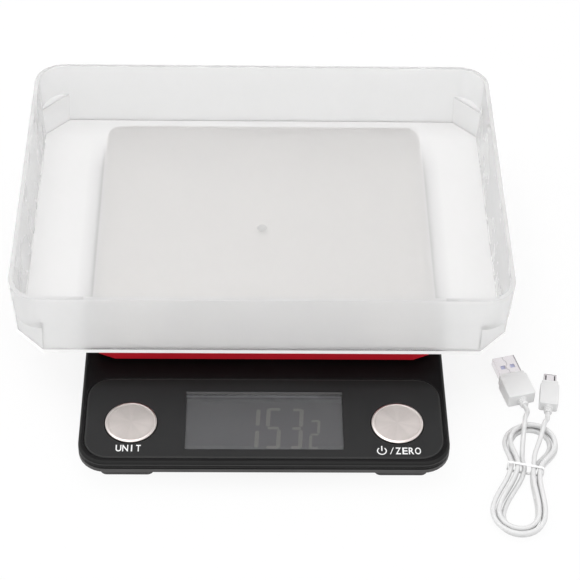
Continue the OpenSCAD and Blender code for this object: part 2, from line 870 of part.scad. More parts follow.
// A plug lies along +X of its own frame, with the cord's exit behind it
module plug_place(at, turn, z) {
    translate([at[0], at[1], z]) rotate([0, 0, turn]) children();
}

module usb_a_overmould() {
    b = usb_a_body;
    color(white) plug_place(usb_a_at, usb_a_turn, usb_a_z) difference() {
        union() {
            translate([b[0]/2, 0, -b[2]/2]) slab(b[0], b[1], b[2], 2.4);
            translate([-relief_l, 0, 0]) rotate([0, 90, 0])
                cylinder(h = relief_l + 1, d1 = relief_d - 1.2, d2 = relief_d, $fn = 32);
        }
        translate([b[0] - 6, -usb_a_metal[1]/2 - 0.05, -usb_a_metal[2]/2 - 0.05])
            cube([7, usb_a_metal[1] + 0.1, usb_a_metal[2] + 0.1]);
    }
}

module usb_a_shell() {
    b = usb_a_body;
    m = usb_a_metal;
    skin = 0.3;
    color(steel) plug_place(usb_a_at, usb_a_turn, usb_a_z) difference() {
        translate([b[0] - 5.9, -m[1]/2, -m[2]/2]) cube([m[0] + 5.9, m[1], m[2]]);
        translate([b[0] - 5, -m[1]/2 + skin, -m[2]/2 + skin]) cube([m[0] + 6, m[1] - 2*skin, m[2] - 2*skin]);
        for (y = [-1, 1])
            translate([b[0] + 3.8, y*2.6 - 1.2, -m[2]]) cube([2.4, 2.4, 2*m[2]]);
    }
}

module usb_a_tongue() {
    b = usb_a_body;
    m = usb_a_metal;
    color(white) plug_place(usb_a_at, usb_a_turn, usb_a_z)
        translate([b[0] - 4.9, -m[1]/2 + 0.35, -m[2]/2 + 0.35]) cube([m[0] + 4, m[1] - 0.7, 1.8]);
}

module micro_usb_overmould() {
    b = micro_body;
    color(white) plug_place(micro_at, micro_turn, micro_z) difference() {
        union() {
            translate([b[0]/2, 0, -b[2]/2]) slab(b[0], b[1], b[2], 1.8);
            translate([-relief_l, 0, 0]) rotate([0, 90, 0])
                cylinder(h = relief_l + 1, d1 = relief_d - 1.4, d2 = relief_d - 0.4, $fn = 32);
        }
        translate([b[0] - 5, -micro_metal[1]/2 - 0.05, -micro_metal[2]/2 - 0.05])
            cube([6, micro_metal[1] + 0.1, micro_metal[2] + 0.1]);
    }
}

module micro_usb_shell() {
    b = micro_body;
    m = micro_metal;
    color(steel) plug_place(micro_at, micro_turn, micro_z) difference() {
        translate([b[0] - 4.9, 0, 0]) rotate([90, 0, 90]) linear_extrude(height = m[0] + 4.9)
            polygon([[-m[1]/2 + 0.9, -m[2]/2], [m[1]/2 - 0.9, -m[2]/2], [m[1]/2, -0.1], [m[1]/2, m[2]/2],
                [-m[1]/2, m[2]/2], [-m[1]/2, -0.1]]);
        translate([b[0] + 1, -2.4, -0.5]) cube([m[0], 4.8, 0.7]);
    }
}

// Hank of the cord: a stadium loop drawn in at the waist, wound outwards on the table and then
// inwards on top of itself, so that both ends leave from inside the loops and cross over them.
// The route is worked out in the hank's own frame, u along it and v across it.
function run_of(u) = u > 0 ? run_up : run_low;
function pinch(u) = abs(u) < run_of(u) ? pow(cos(90*u/run_of(u)), 2) : 0;
function half_width(u, o) = hank_b + o - pinch(u)*(hank_b - waist_b - waist_spread*o);
function side_spot(u, o, side) = [u, side*half_width(u, o)];
function bend_spot(a, o, mid, side) = [mid + side*(hank_b + o)*sin(a), side*(hank_b + o)*cos(a)];
function spot(s, o) =
    s < 2 ? side_spot(-s/2*run_low, o, -1)
    : s < 10 ? bend_spot((s - 2)*22.5, o, -run_low, -1)
    : s < 12 ? side_spot((s - 12)/2*run_low, o, 1)
    : s < 14 ? side_spot((s - 12)/2*run_up, o, 1)
    : s < 22 ? bend_spot((s - 14)*22.5, o, run_up, 1)
    : side_spot((24 - s)/2*run_up, o, -1);
function smooth(x) = x < 0 ? 0 : x > 1 ? 1 : x*x*(3 - 2*x);
function loop_z(turn, u) = cord_d/2 + (tie_t + 0.2)*pinch(u) + lay_h*smooth(0.5 + turn*4);
function wrap(s) = s - rings_a_loop*floor(s/rings_a_loop);
function loop_point(turn) = let (p = spot(wrap(turn*rings_a_loop), hank_step*(turns_in - abs(turn))))
    [p[0], p[1], loop_z(turn, p[0])];
function to_table(p) = [hank_at[0] + p[0]*cos(hank_turn) + p[1]*sin(hank_turn),
    hank_at[1] + p[0]*sin(hank_turn) - p[1]*cos(hank_turn), p[2]];
function exit_point(at, turn, z, back) = [at[0] - back*cos(turn), at[1] - back*sin(turn), z];
function unit(v) = v/norm(v);

// A smooth line through points that starts along d0 and ends along d1
function span_point(a, b, ta, tb, t) =
    (2*t*t*t - 3*t*t + 1)*a + (t*t*t - 2*t*t + t)*ta + (3*t*t - 2*t*t*t)*b + (t*t*t - t*t)*tb;
function heading(p, i, d0, d1) = i == 0 ? d0 : i == len(p) - 1 ? d1 : unit(p[i + 1] - p[i - 1]);
function lead_line(p, d0, d1) = [for (i = [0:len(p) - 2]) for (j = [0:3]) if (i + j > 0)
    let (l = norm(p[i + 1] - p[i]))
    span_point(p[i], p[i + 1], l*heading(p, i, d0, d1), l*heading(p, i + 1, d0, d1), j/4)];

loops = [for (i = [0:round((turns_in + turns_out)*rings_a_loop)])
    to_table(loop_point(i/rings_a_loop - turns_in))];
last = len(loops) - 1;
usb_a_end = [for (b = [0, cord_d]) exit_point(usb_a_at, usb_a_turn, usb_a_z, relief_l + b)];
micro_end = [for (b = [cord_d, 0]) exit_point(micro_at, micro_turn, micro_z, relief_l + b)];
lead_in = lead_line(concat([usb_a_end[1]], [for (p = over_in) to_table(p)], [loops[0]]),
    unit(usb_a_end[1] - usb_a_end[0]), unit(loops[1] - loops[0]));
lead_out = lead_line(concat([loops[last]], [for (p = over_out) to_table(p)], [micro_end[0]]),
    unit(loops[last] - loops[last - 1]), unit(micro_end[1] - micro_end[0]));
route = concat(usb_a_end, lead_in, loops, lead_out, micro_end);

// Length of the route and the least gap between its own strands
route_length = [for (i = 0, s = 0; i < len(route); s = s + (i + 1 < len(route) ? norm(route[i + 1] - route[i]) : 0), i = i + 1) s];
cord_length = max(route_length);
strand_gap = min([for (i = [0:len(route) - 2]) for (j = [i + 1:len(route) - 1])
    if (route_length[j] - route_length[i] > 18) segment_gap(i, j)]) - cord_d;
function segment_gap(i, j) = j + 1 > len(route) - 1 ? norm(route[i] - route[j])
    : min([for (a = [0:0.25:1]) norm(route[i]*(1 - a) + route[i + 1]*a - route[j]),
        for (a = [0:0.25:1]) norm(route[j]*(1 - a) + route[j + 1]*a - route[i])]);
echo(cord_length = cord_length, strand_gap = strand_gap, rings = len(route));

function tangent(p, i) = unit(p[min(i + 1, len(p) - 1)] - p[max(i - 1, 0)]);

// Tube swept along points, with each ring square to the route
module tube(p, r, sides) {
    n = len(p);
    rings = [for (i = [0:n - 1]) let (t = tangent(p, i), across = unit(cross(t, [0, 0, 1])), up = cross(across, t))
        for (k = [0:sides - 1]) let (a = 360*(k + 0.5)/sides) p[i] + r*(cos(a)*across + sin(a)*up)];
    faces = concat([[for (k = [0:sides - 1]) k]],
        [for (i = [0:n - 2]) for (k = [0:sides - 1]) let (a = i*sides + k, b = i*sides + (k + 1)%sides)
            [a, a + sides, b]],
        [for (i = [0:n - 2]) for (k = [0:sides - 1]) let (a = i*sides + k, b = i*sides + (k + 1)%sides)
            [b, a + sides, b + sides]],
        [[for (k = [sides - 1:-1:0]) (n - 1)*sides + k]]);
    polyhedron(points = rings, faces = faces, convexity = 10);
}

module cable_hank() {
    color(white) tube(route, cord_d/2, 6);
}

// Band round all the strands at the waist
module cable_tie() {
    left = half_width(0, turns_in*hank_step) + cord_d/2 + tie_gap;
    right = half_width(0, (turns_in - 0.5)*hank_step) + cord_d/2 + tie_gap;
    tall = cord_d + lay_h + 0.35;
    w = left + right;
    color([0.96, 0.96, 0.96])
        translate([hank_at[0], hank_at[1], 0]) rotate([0, 0, hank_turn])
            translate([-tie_w/2, (left - right)/2, tie_t + tall/2]) rotate([90, 0, 90])
                difference() {
                    slab(w + 2*tie_t, tall + 2*tie_t, tie_w, 1.6);
                    translate([0, 0, -1]) slab(w, tall, tie_w + 2, 0.9);
                }
}

lower_housing();
upper_housing();
rubber_feet();
housing_screws();
control_panel();
display_lens();
lcd_glass();
lcd_backlight();
lcd_contact_strips();
main_board();
board_chips();
board_screws();
key_switches();
usb_socket();
battery();
battery_lead();
load_cell();
load_cell_lead();
load_cell_screws();
load_bracket();
bracket_screws();
platform_carrier();
carrier_screws();
steel_plate();
tray();
unit_button_cap();
unit_button_stem();
unit_switch_plunger();
zero_button_cap();
zero_button_stem();
zero_switch_plunger();
usb_a_overmould();
usb_a_shell();
usb_a_tongue();
micro_usb_overmould();
micro_usb_shell();
cable_hank();
cable_tie();
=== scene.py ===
"""Looks of a digital kitchen scale with a frosted clear tray and a charging cable.

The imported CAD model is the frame. This script gives every node its finish, models the tray, the metal
buttons, the display's digits, the printed words, the plugs and the wound cord, and sets up a plain pale
studio. All sizes are in metres.
"""
import functools
import logging
import math
from collections.abc import Callable
from dataclasses import dataclass, field
from enum import Enum

import bmesh
import bpy
from mathutils import Matrix, Vector


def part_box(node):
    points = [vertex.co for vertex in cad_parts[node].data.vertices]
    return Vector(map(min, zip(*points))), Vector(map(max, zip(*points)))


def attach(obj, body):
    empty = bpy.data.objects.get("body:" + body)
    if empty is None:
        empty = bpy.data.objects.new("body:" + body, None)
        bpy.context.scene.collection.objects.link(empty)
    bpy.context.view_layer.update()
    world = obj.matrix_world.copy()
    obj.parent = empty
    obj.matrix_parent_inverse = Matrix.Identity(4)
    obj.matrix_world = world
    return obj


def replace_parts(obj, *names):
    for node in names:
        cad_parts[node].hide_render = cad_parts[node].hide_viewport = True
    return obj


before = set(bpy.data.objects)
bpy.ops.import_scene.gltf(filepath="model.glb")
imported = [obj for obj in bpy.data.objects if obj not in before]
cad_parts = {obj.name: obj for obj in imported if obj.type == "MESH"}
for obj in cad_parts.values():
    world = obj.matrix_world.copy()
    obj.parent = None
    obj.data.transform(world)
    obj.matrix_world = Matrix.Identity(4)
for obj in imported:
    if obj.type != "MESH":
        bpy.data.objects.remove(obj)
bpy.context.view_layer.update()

log = logging.getLogger("kitchen_scale")

Colour = tuple[float, float, float]
Point = tuple[float, float, float]
Spot = tuple[float, float]
LEVEL: Point = (1.0, 1.0, 0.0)
COS_45 = 0.7071
MERGE, NEAR = 1e-7, 1e-6
UPRIGHT_FADE: Spot = (0.7, 0.85)
LEVEL_FADE: Spot = (0.9, 0.98)
SLOPE_FADES: tuple[Spot, Spot] = ((0.15, 0.3), (0.93, 0.985))
CORNERS = ((-1, -1), (-1, 1), (1, -1), (1, 1))


def grey(value: float) -> Colour:
    """Gives the grey of that value."""
    return value, value, value


class Body(Enum):
    """Bodies of the CAD model that pieces ride on."""

    HOUSING = "housing"
    UNIT = "unit_button"
    ZERO = "zero_button"
    TRAY = "tray_body"


class Side(Enum):
    """Left or right of the scale's middle line."""

    LEFT = -1
    RIGHT = 1


class Axis(Enum):
    """Direction in which a metal sheet is brushed."""

    X = "x"
    Y = "y"


# ---------------------------------------------------------------- node trees


class Nodes:
    """Adds and joins the nodes of one tree."""

    def __init__(self, tree: bpy.types.NodeTree) -> None:
        """Keeps the tree that the nodes go into."""
        self.tree = tree

    def add(self, kind: str, values: dict | None = None, **settings: object) -> bpy.types.Node:
        """Adds a node, sets it up and fills its sockets.

        Args:
            kind: Name of the node's type.
            values: Socket name or number, and its value or the output that feeds it.
            **settings: Attributes of the node itself.

        Returns:
            The new node.
        """
        node = self.tree.nodes.new(kind)
        for key, value in settings.items():
            setattr(node, key, value)
        for key, value in (values or {}).items():
            socket = node.inputs[key]
            if isinstance(value, bpy.types.NodeSocket):
                self.tree.links.new(value, socket)
            else:
                socket.default_value = value
        return node

    def math(self, operation: str, *values: object) -> bpy.types.NodeSocket:
        """Adds a Math node and returns its output."""
        return self.add("ShaderNodeMath", dict(enumerate(values)), operation=operation).outputs[0]

    def product(self, *factors: object) -> bpy.types.NodeSocket:
        """Multiplies all the values with each other."""
        return functools.reduce(functools.partial(self.math, "MULTIPLY"), factors)

    def vector(self, operation: str, *values: object) -> bpy.types.NodeSocket:
        """Adds a Vector Math node and returns its output."""
        outputs = self.add("ShaderNodeVectorMath", dict(enumerate(values)), operation=operation).outputs
        return outputs["Value" if operation in ("LENGTH", "DOT_PRODUCT") else "Vector"]

    def scaled(self, colour: object, factor: object) -> bpy.types.NodeSocket:
        """Multiplies a colour or vector by a value."""
        return self.add("ShaderNodeVectorMath", {0: colour, "Scale": factor}, operation="SCALE").outputs[0]

    def split(self, vector: bpy.types.NodeSocket) -> bpy.types.NodeOutputs:
        """Splits a vector into its outputs X, Y and Z."""
        return self.add("ShaderNodeSeparateXYZ", {0: vector}).outputs

    def facing(self) -> bpy.types.NodeOutputs:
        """Gives the face's own normal as outputs X, Y and Z."""
        return self.split(self.add("ShaderNodeNewGeometry").outputs["True Normal"])

    def mix(self, share: object, first: bpy.types.NodeSocket, second: object) -> bpy.types.NodeSocket:
        """Goes from one colour to another, given as an output or as three numbers, by a share of 0 to 1."""
        second = (*second, 1.0) if isinstance(second, tuple) else second
        return self.add("ShaderNodeMix", {0: share, 6: first, 7: second}, data_type="RGBA").outputs[2]

    def noise(self, vector: object, scale: object, detail: float, **more: object) -> bpy.types.NodeSocket:
        """Adds a Noise Texture and returns its value."""
        values = {"Vector": vector, "Scale": scale, "Detail": detail, **more}
        return self.add("ShaderNodeTexNoise", values).outputs["Fac"]

    def group(self, tree: bpy.types.NodeTree, **values: object) -> bpy.types.NodeOutputs:
        """Places a shared group, fills its inputs and returns its outputs."""
        return self.add("ShaderNodeGroup", values, node_tree=tree).outputs

    def remap(self, value: object, low: object, high: object, start: float = 0.3,
              end: float = 0.7) -> bpy.types.NodeSocket:
        """Spreads a value from start..end onto low..high."""
        return self.add("ShaderNodeMapRange", {0: value, 1: start, 2: end, 3: low, 4: high}).outputs[0]


Sockets = tuple[bpy.types.NodeSocket, ...]


def shared_group(inputs: dict[str, str | float], **outputs: str) -> Callable:
    """Turns a function that adds nodes into one that gives their group, built once under its name.

    Args:
        inputs: Each input's name, with its type or, for a number, with its default.
        **outputs: Each output's name and type.

    Returns:
        The decorator.
    """
    def wrap(fill: Callable[[Nodes, bpy.types.NodeOutputs], Sockets]) -> Callable[[], bpy.types.NodeTree]:
        """Wraps the function whose nodes are shared."""
        @functools.wraps(fill)
        def give() -> bpy.types.NodeTree:
            """Gives the group.

            Returns:
                The group, which is built the first time.
            """
            if fill.__name__ in bpy.data.node_groups:
                return bpy.data.node_groups[fill.__name__]
            tree = bpy.data.node_groups.new(fill.__name__, "ShaderNodeTree")
            for label, kind in inputs.items():
                named = isinstance(kind, str)
                socket = tree.interface.new_socket(label, in_out="INPUT",
                                                   socket_type=f"NodeSocket{kind if named else 'Float'}")
                if not named:
                    socket.default_value = kind
            for label, kind in outputs.items():
                tree.interface.new_socket(label, in_out="OUTPUT", socket_type=f"NodeSocket{kind}")
            nodes = Nodes(tree)
            given, out = nodes.add("NodeGroupInput").outputs, nodes.add("NodeGroupOutput").inputs
            for label, source in zip(outputs, fill(nodes, given)):
                tree.links.new(source, out[label])
            return tree
        return give
    return wrap


@shared_group({"Vector": "Vector", "Color": "Color", "Scale": 40.0, "Amount": 0.05}, Color="Color")
def clouded_colour(nodes: Nodes, given: bpy.types.NodeOutputs) -> Sockets:
    """Varies a colour softly over a surface.

    Args:
        nodes: Where the nodes go.
        given: The group's inputs.

    Returns:
        The colour.
    """
    cloud = nodes.noise(given["Vector"], given["Scale"], 4.0, Roughness=0.55)
    least, most = (nodes.math(kind, 1.0, given["Amount"]) for kind in ("SUBTRACT", "ADD"))
    return (nodes.scaled(given["Color"], nodes.remap(cloud, least, most)),)


@shared_group({"Vector": "Vector", "Scale": 60.0, "Low": 0.3, "High": 0.5}, Value="Float")
def uneven_value(nodes: Nodes, given: bpy.types.NodeOutputs) -> Sockets:
    """Varies a value between two ends, as handling does to gloss."""
    broad = nodes.noise(given["Vector"], given["Scale"], 5.0, Roughness=0.6)
    return (nodes.remap(broad, given["Low"], given["High"]),)


@shared_group({"Vector": "Vector", "Scale": 2500.0}, Height="Float")
def moulded_grain(nodes: Nodes, given: bpy.types.NodeOutputs) -> Sockets:
    """Gives the fine leathery grain of moulded plastic.

    Args:
        nodes: Where the nodes go.
        given: The group's inputs.

    Returns:
        The height.
    """
    cells = nodes.add("ShaderNodeTexVoronoi", {"Vector": given["Vector"], "Scale": given["Scale"]})
    noise = nodes.noise(given["Vector"], nodes.product(given["Scale"], 0.35), 3.0)
    return (nodes.math("ADD", nodes.product(cells.outputs["Distance"], 0.5), noise),)


@shared_group({"Vector": "Vector", "Scale": 3000.0}, Height="Float", Streak="Float")
def brush_lines(nodes: Nodes, given: bpy.types.NodeOutputs) -> Sockets:
    """Gives long fine brush lines along X of the vector it is given."""
    drawn = nodes.vector("MULTIPLY", given["Vector"], (0.012, 1.0, 1.0))
    return nodes.noise(drawn, given["Scale"], 2.0), nodes.noise(drawn, nodes.product(given["Scale"], 0.12), 3.0)


@shared_group({"Radius": 0.0006}, Mask="Float", Normal="Vector")
def soft_edges(nodes: Nodes, given: bpy.types.NodeOutputs) -> Sockets:
    """Softens edges and gives a mask that marks them.

    Args:
        nodes: Where the nodes go.
        given: The group's inputs.

    Returns:
        The mask and the normal.
    """
    soft = nodes.add("ShaderNodeBevel", {"Radius": given["Radius"]}, samples=4).outputs[0]
    turn = nodes.vector("DOT_PRODUCT", soft, nodes.add("ShaderNodeNewGeometry").outputs["Normal"])
    return nodes.remap(turn, 1.0, 0.0, 0.75, 0.98), soft


# ---------------------------------------------------------------- finishes


@dataclass(frozen=True)
class Finish:
    """Moulded or painted surface with soft colour changes, uneven gloss, fine grain and edges that can be lightened.
    """

    name: str
    colour: Colour
    vary: float = 0.06
    vary_scale: float = 45.0
    rough: tuple[float, float] = (0.4, 0.5)
    rough_scale: float = 70.0
    metallic: float = 0.0
    specular: float = 0.5
    grain: float = 0.00001
    grain_scale: float = 2600.0
    edge: float = 0.0
    edge_light: float = 0.0

    def material(self) -> bpy.types.Material:
        """Builds the material.

        Returns:
            The material, or the one already built.
        """
        if self.name in bpy.data.materials:
            return bpy.data.materials[self.name]
        material = bpy.data.materials.new(self.name)
        material.use_nodes = True
        material.diffuse_color = (*self.colour, 1.0)
        tree = material.node_tree
        nodes, shader = Nodes(tree), tree.nodes["Principled BSDF"]
        vector = self.vector(nodes)
        colour, normal = self.coloured(nodes, vector), None
        if self.edge:
            edges = nodes.group(soft_edges(), Radius=self.edge)
            normal = edges["Normal"]
            if self.edge_light:
                light = tuple(min(1.0, c * 1.6 + 0.06) for c in self.colour)
                colour = nodes.mix(nodes.product(edges["Mask"], self.edge_light), colour, light)
        shader.inputs["Metallic"].default_value = self.metallic
        shader.inputs["Specular IOR Level"].default_value = self.specular
        tree.links.new(colour, shader.inputs["Base Color"])
        tree.links.new(self.roughened(nodes, vector), shader.inputs["Roughness"])
        bump = nodes.add("ShaderNodeBump", {"Height": self.height(nodes, vector), "Distance": self.grain,
                                            "Strength": 1.0})
        if normal is not None:
            tree.links.new(normal, bump.inputs["Normal"])
        tree.links.new(bump.outputs["Normal"], shader.inputs["Normal"])
        self.extras(shader)
        return material

    def vector(self, nodes: Nodes) -> bpy.types.NodeSocket:
        """Gives the coordinates that the patterns follow."""
        return nodes.add("ShaderNodeTexCoord").outputs["Object"]

    def coloured(self, nodes: Nodes, vector: bpy.types.NodeSocket) -> bpy.types.NodeSocket:
        """Gives the softly varied colour."""
        return nodes.group(clouded_colour(), Vector=vector, Color=(*self.colour, 1.0), Scale=self.vary_scale,
                           Amount=self.vary)["Color"]

    def roughened(self, nodes: Nodes, vector: bpy.types.NodeSocket) -> bpy.types.NodeSocket:
        """Gives the uneven roughness."""
        return nodes.group(uneven_value(), Vector=vector, Scale=self.rough_scale, Low=self.rough[0],
                           High=self.rough[1])["Value"]

    def height(self, nodes: Nodes, vector: bpy.types.NodeSocket) -> bpy.types.NodeSocket:
        """Gives the height of the surface grain."""
        return nodes.group(moulded_grain(), Vector=vector, Scale=self.grain_scale)["Height"]

    def extras(self, shader: bpy.types.Node) -> None:
        """Sets what only some finishes have."""


@dataclass(frozen=True)
class BrushedMetal(Finish):
    """Metal sheet with long brush lines and streaks of gloss."""

    along: Axis = Axis.X
    lines: float = 3000.0

    def vector(self, nodes: Nodes) -> bpy.types.NodeSocket:
        """Gives coordinates turned so that X runs along the brush lines."""
        coords = nodes.add("ShaderNodeTexCoord").outputs["Object"]
        turn = math.pi / 2 if self.along is Axis.Y else 0.0
        return nodes.add("ShaderNodeMapping", {"Vector": coords, "Rotation": (0.0, 0.0, turn)}).outputs[0]

    def height(self, nodes: Nodes, vector: bpy.types.NodeSocket) -> bpy.types.NodeSocket:
        """Gives the height of the brush lines."""
        return nodes.group(brush_lines(), Vector=vector, Scale=self.lines)["Height"]

    def roughened(self, nodes: Nodes, vector: bpy.types.NodeSocket) -> bpy.types.NodeSocket:
        """Gives roughness in streaks along the brush lines."""
        return nodes.remap(nodes.group(brush_lines(), Vector=vector, Scale=self.lines)["Streak"], *self.rough)


@dataclass(frozen=True)
class SideShadedSheet(BrushedMetal):
    """Brushed sheet with painted shade beside its folded sides."""

    side: float = 1.0
    reach: float = 0.0036
    fade: float = 0.0006
    shade: float = 0.84

    def coloured(self, nodes: Nodes, vector: bpy.types.NodeSocket) -> bpy.types.NodeSocket:
        """Gives the colour, with painted shade along the two sides.

        Args:
            nodes: Where the nodes go.
            vector: The coordinates that the pattern follows.

        Returns:
            The colour.
        """
        inner = self.side - self.reach
        factor = nodes.remap(nodes.math("ABSOLUTE", nodes.split(vector)["X"]), 1.0, self.shade, inner - self.fade,
                             inner)
        return nodes.scaled(super().coloured(nodes, vector), factor)


@dataclass(frozen=True)
class SpunMetal(Finish):
    """Metal turned on a lathe: fine rings round a middle, with faint painted wedges of light and a painted highlight
    on the rim.
    """

    middle: Spot = (0.0, 0.0)
    ring_step: float = 0.00025
    # The next fields set the painted sheen wedges and the painted highlight on the rim.
    wedge_sheen: float = 0.06
    rim_highlight_from: float = 0.0118
    rim_highlight_gain: float = 1.3
    fade: float = 0.0001

    def vector(self, nodes: Nodes) -> bpy.types.NodeSocket:
        """Gives coordinates centred on the turned face."""
        coords = nodes.add("ShaderNodeTexCoord").outputs["Object"]
        return nodes.add("ShaderNodeMapping", {
            "Vector": coords, "Location": (-self.middle[0], -self.middle[1], 0.0)}).outputs[0]

    def height(self, nodes: Nodes, vector: bpy.types.NodeSocket) -> bpy.types.NodeSocket:
        """Gives the height of the turned rings."""
        reach = nodes.vector("LENGTH", nodes.vector("MULTIPLY", vector, LEVEL))
        return nodes.add("ShaderNodeTexNoise", {"W": nodes.product(reach, 1.0 / self.ring_step), "Scale": 1.0,
                                                "Detail": 3.0}, noise_dimensions="1D").outputs["Fac"]

    def coloured(self, nodes: Nodes, vector: bpy.types.NodeSocket) -> bpy.types.NodeSocket:
        """Gives the colour with faint painted wedges of light round the middle and a painted highlight on the rim.

        Args:
            nodes: Where the nodes go.
            vector: The coordinates that the pattern follows.

        Returns:
            The colour.
        """
        flat = nodes.vector("MULTIPLY", vector, LEVEL)
        turned = nodes.noise(nodes.vector("NORMALIZE", flat), 1.7, 2.0)
        wedges = nodes.remap(turned, 1.0 - self.wedge_sheen, 1.0 + self.wedge_sheen)
        ring = nodes.remap(nodes.vector("LENGTH", flat), 1.0, self.rim_highlight_gain, self.rim_highlight_from - self.fade,
                           self.rim_highlight_from + self.fade)
        return nodes.scaled(super().coloured(nodes, vector), nodes.product(wedges, ring))


@dataclass(frozen=True)
class ClearPlastic(Finish):
    """Clear or frosted plastic that light passes through."""

    index: float = 1.45
    clear: float = 1.0

    def extras(self, shader: bpy.types.Node) -> None:
        """Lets the light through."""
        shader.inputs["Transmission Weight"].default_value = self.clear
        shader.inputs["IOR"].default_value = self.index


@dataclass(frozen=True)
class LightShadeBandShell(Finish):
    """Moulded shell whose upright wall has a painted band between two heights, a painted highlight when lighter and
    painted shade when darker, and a painted highlight tone on sloping faces if given.
    """

    band: Colour = grey(0.0)
    band_low: float = 0.0
    band_high: float = 1.0
    band_half: float = 1.0
    band_back: float = 10.0
    fade: float = 0.0003
    end_fade: float = 0.006
    slope: Colour | None = None

    def coloured(self, nodes: Nodes, vector: bpy.types.NodeSocket) -> bpy.types.NodeSocket:
        """Gives the colour, with the painted band on the wall and the painted highlight tone on sloping faces.

        Args:
            nodes: Where the nodes go.
            vector: The coordinates that the pattern follows.

        Returns:
            The colour.
        """
        plain, place, lean = super().coloured(nodes, vector), nodes.split(vector), nodes.facing()["Z"]
        if self.slope is not None:
            leaning = nodes.product(nodes.remap(lean, 0.0, 1.0, *SLOPE_FADES[0]),
                                    nodes.remap(lean, 1.0, 0.0, *SLOPE_FADES[1]))
            plain = nodes.mix(leaning, plain, self.slope)
        upright = nodes.remap(nodes.math("ABSOLUTE", lean), 1.0, 0.0, *UPRIGHT_FADE)
        above = nodes.remap(place["Z"], 0.0, 1.0, self.band_low - self.fade, self.band_low + self.fade)
        below = nodes.remap(place["Z"], 1.0, 0.0, self.band_high - self.fade, self.band_high + self.fade)
        near = nodes.remap(nodes.math("ABSOLUTE", place["X"]), 1.0, 0.0, self.band_half - self.end_fade,
                           self.band_half)
        ahead = nodes.remap(place["Y"], 1.0, 0.0, self.band_back - self.end_fade, self.band_back)
        return nodes.mix(nodes.product(upright, near, ahead, above, below), plain, self.band)


@dataclass(frozen=True)
class ShadedClearPlastic(ClearPlastic, LightShadeBandShell):
    """Frosted plastic that light passes through, with a band of painted shade where a floor meets its wall and a
    painted shadow of the plate beside it.
    """

    floor: Colour = (0.956, 0.952, 0.951)
    plate: Spot = (1.0, 1.0)
    shade: float = 0.84
    reach: float = 0.009
    start_fade: float = 0.0004
    back_fade: Spot = (0.04, 0.012)

    def coloured(self, nodes: Nodes, vector: bpy.types.NodeSocket) -> bpy.types.NodeSocket:
        """Gives the colour, a little deeper on the level floor, with painted shadow of the plate under it beside its
        sides.

        Args:
            nodes: Where the nodes go.
            vector: The coordinates that the pattern follows.

        Returns:
            The colour.
        """
        place, (side, back) = nodes.split(vector), self.plate
        across = nodes.math("ABSOLUTE", place["X"])
        # Painted shadow of the plate on the tray's floor beside its sides.
        beside = nodes.product(nodes.remap(across, 0.0, 1.0, side - self.start_fade, side + self.start_fade),
                               nodes.remap(across, 1.0, 0.0, side, side + self.reach),
                               nodes.remap(place["Y"], 1.0, 0.0, *(back - fade for fade in self.back_fade)))
        level = nodes.remap(nodes.math("ABSOLUTE", nodes.facing()["Z"]), 0.0, 1.0, *LEVEL_FADE)
        return nodes.mix(level, super().coloured(nodes, vector),
                         nodes.scaled(self.floor, nodes.remap(beside, 1.0, self.shade, 0.0, 1.0)))


@dataclass(frozen=True)
class HighlitPlate(Finish):
    """Plate with a painted highlight line along its rim and on its chamfer, and painted shade towards its back."""

    rim: Colour = grey(0.2)
    line: Colour = grey(0.05)
    low: Spot = (0.0, 0.0)
    high: Spot = (1.0, 1.0)
    corner: float = 0.0118
    line_width: float = 0.0006
    line_in: Spot = (0.0005, 0.00035)
    back_shade: float = 0.5
    back_fade: Spot = (0.0065, 0.001)
    slope_off: Spot = (0.05, 0.2)

    def rim_distance(self, nodes: Nodes, vector: bpy.types.NodeSocket) -> bpy.types.NodeSocket:
        """Gives the distance outside the plate's rounded outline, below zero inside it.

        Args:
            nodes: Where the nodes go.
            vector: The coordinates that the pattern follows.

        Returns:
            The distance, negative inside.
        """
        middle = [(a + b) / 2 for a, b in zip(self.low, self.high)]
        half = [(b - a) / 2 - self.corner for a, b in zip(self.low, self.high)]
        flat = nodes.vector("MULTIPLY", nodes.vector("SUBTRACT", vector, (*middle, 0.0)), LEVEL)
        past = nodes.vector("SUBTRACT", nodes.vector("ABSOLUTE", flat), (*half, 0.0))
        outside = nodes.vector("LENGTH", nodes.vector("MAXIMUM", past, (0.0, 0.0, 0.0)))
        part = nodes.split(past)
        inside = nodes.math("MINIMUM", nodes.math("MAXIMUM", part["X"], part["Y"]), 0.0)
        return nodes.math("SUBTRACT", nodes.math("ADD", outside, inside), self.corner)

    def coloured(self, nodes: Nodes, vector: bpy.types.NodeSocket) -> bpy.types.NodeSocket:
        """Gives the colour, with painted shade at the back and painted highlight on the rim.

        Args:
            nodes: Where the nodes go.
            vector: The coordinates that the pattern follows.

        Returns:
            The colour.
        """
        shade = nodes.remap(nodes.split(vector)["Y"], 1.0, self.back_shade,
                            *(self.high[1] - fade for fade in self.back_fade))
        edge = nodes.remap(self.rim_distance(nodes, vector), 0.0, 1.0,
                           *(-inner - self.line_width for inner in self.line_in))
        lined = nodes.mix(edge, nodes.scaled(super().coloured(nodes, vector), shade), self.line)
        off = nodes.math("ABSOLUTE", nodes.math("SUBTRACT", nodes.facing()["Z"], COS_45))
        return nodes.mix(nodes.remap(off, 1.0, 0.0, *self.slope_off), lined, self.rim)


@dataclass(frozen=True)
class DisplayCell(Finish):
    """Liquid crystal face with painted light and shade graded along Y, a little lighter towards the front for a
    positive gain.
    """

    front: float = 0.0
    back: float = 1.0
    gain: float = 0.1

    def coloured(self, nodes: Nodes, vector: bpy.types.NodeSocket) -> bpy.types.NodeSocket:
        """Gives the colour, graded along Y as painted light and shade, lighter towards the front for a positive gain.
        """
        factor = nodes.remap(nodes.split(vector)["Y"], 1.0 + self.gain, 1.0 - self.gain, self.front, self.back)
        return nodes.scaled(super().coloured(nodes, vector), factor)
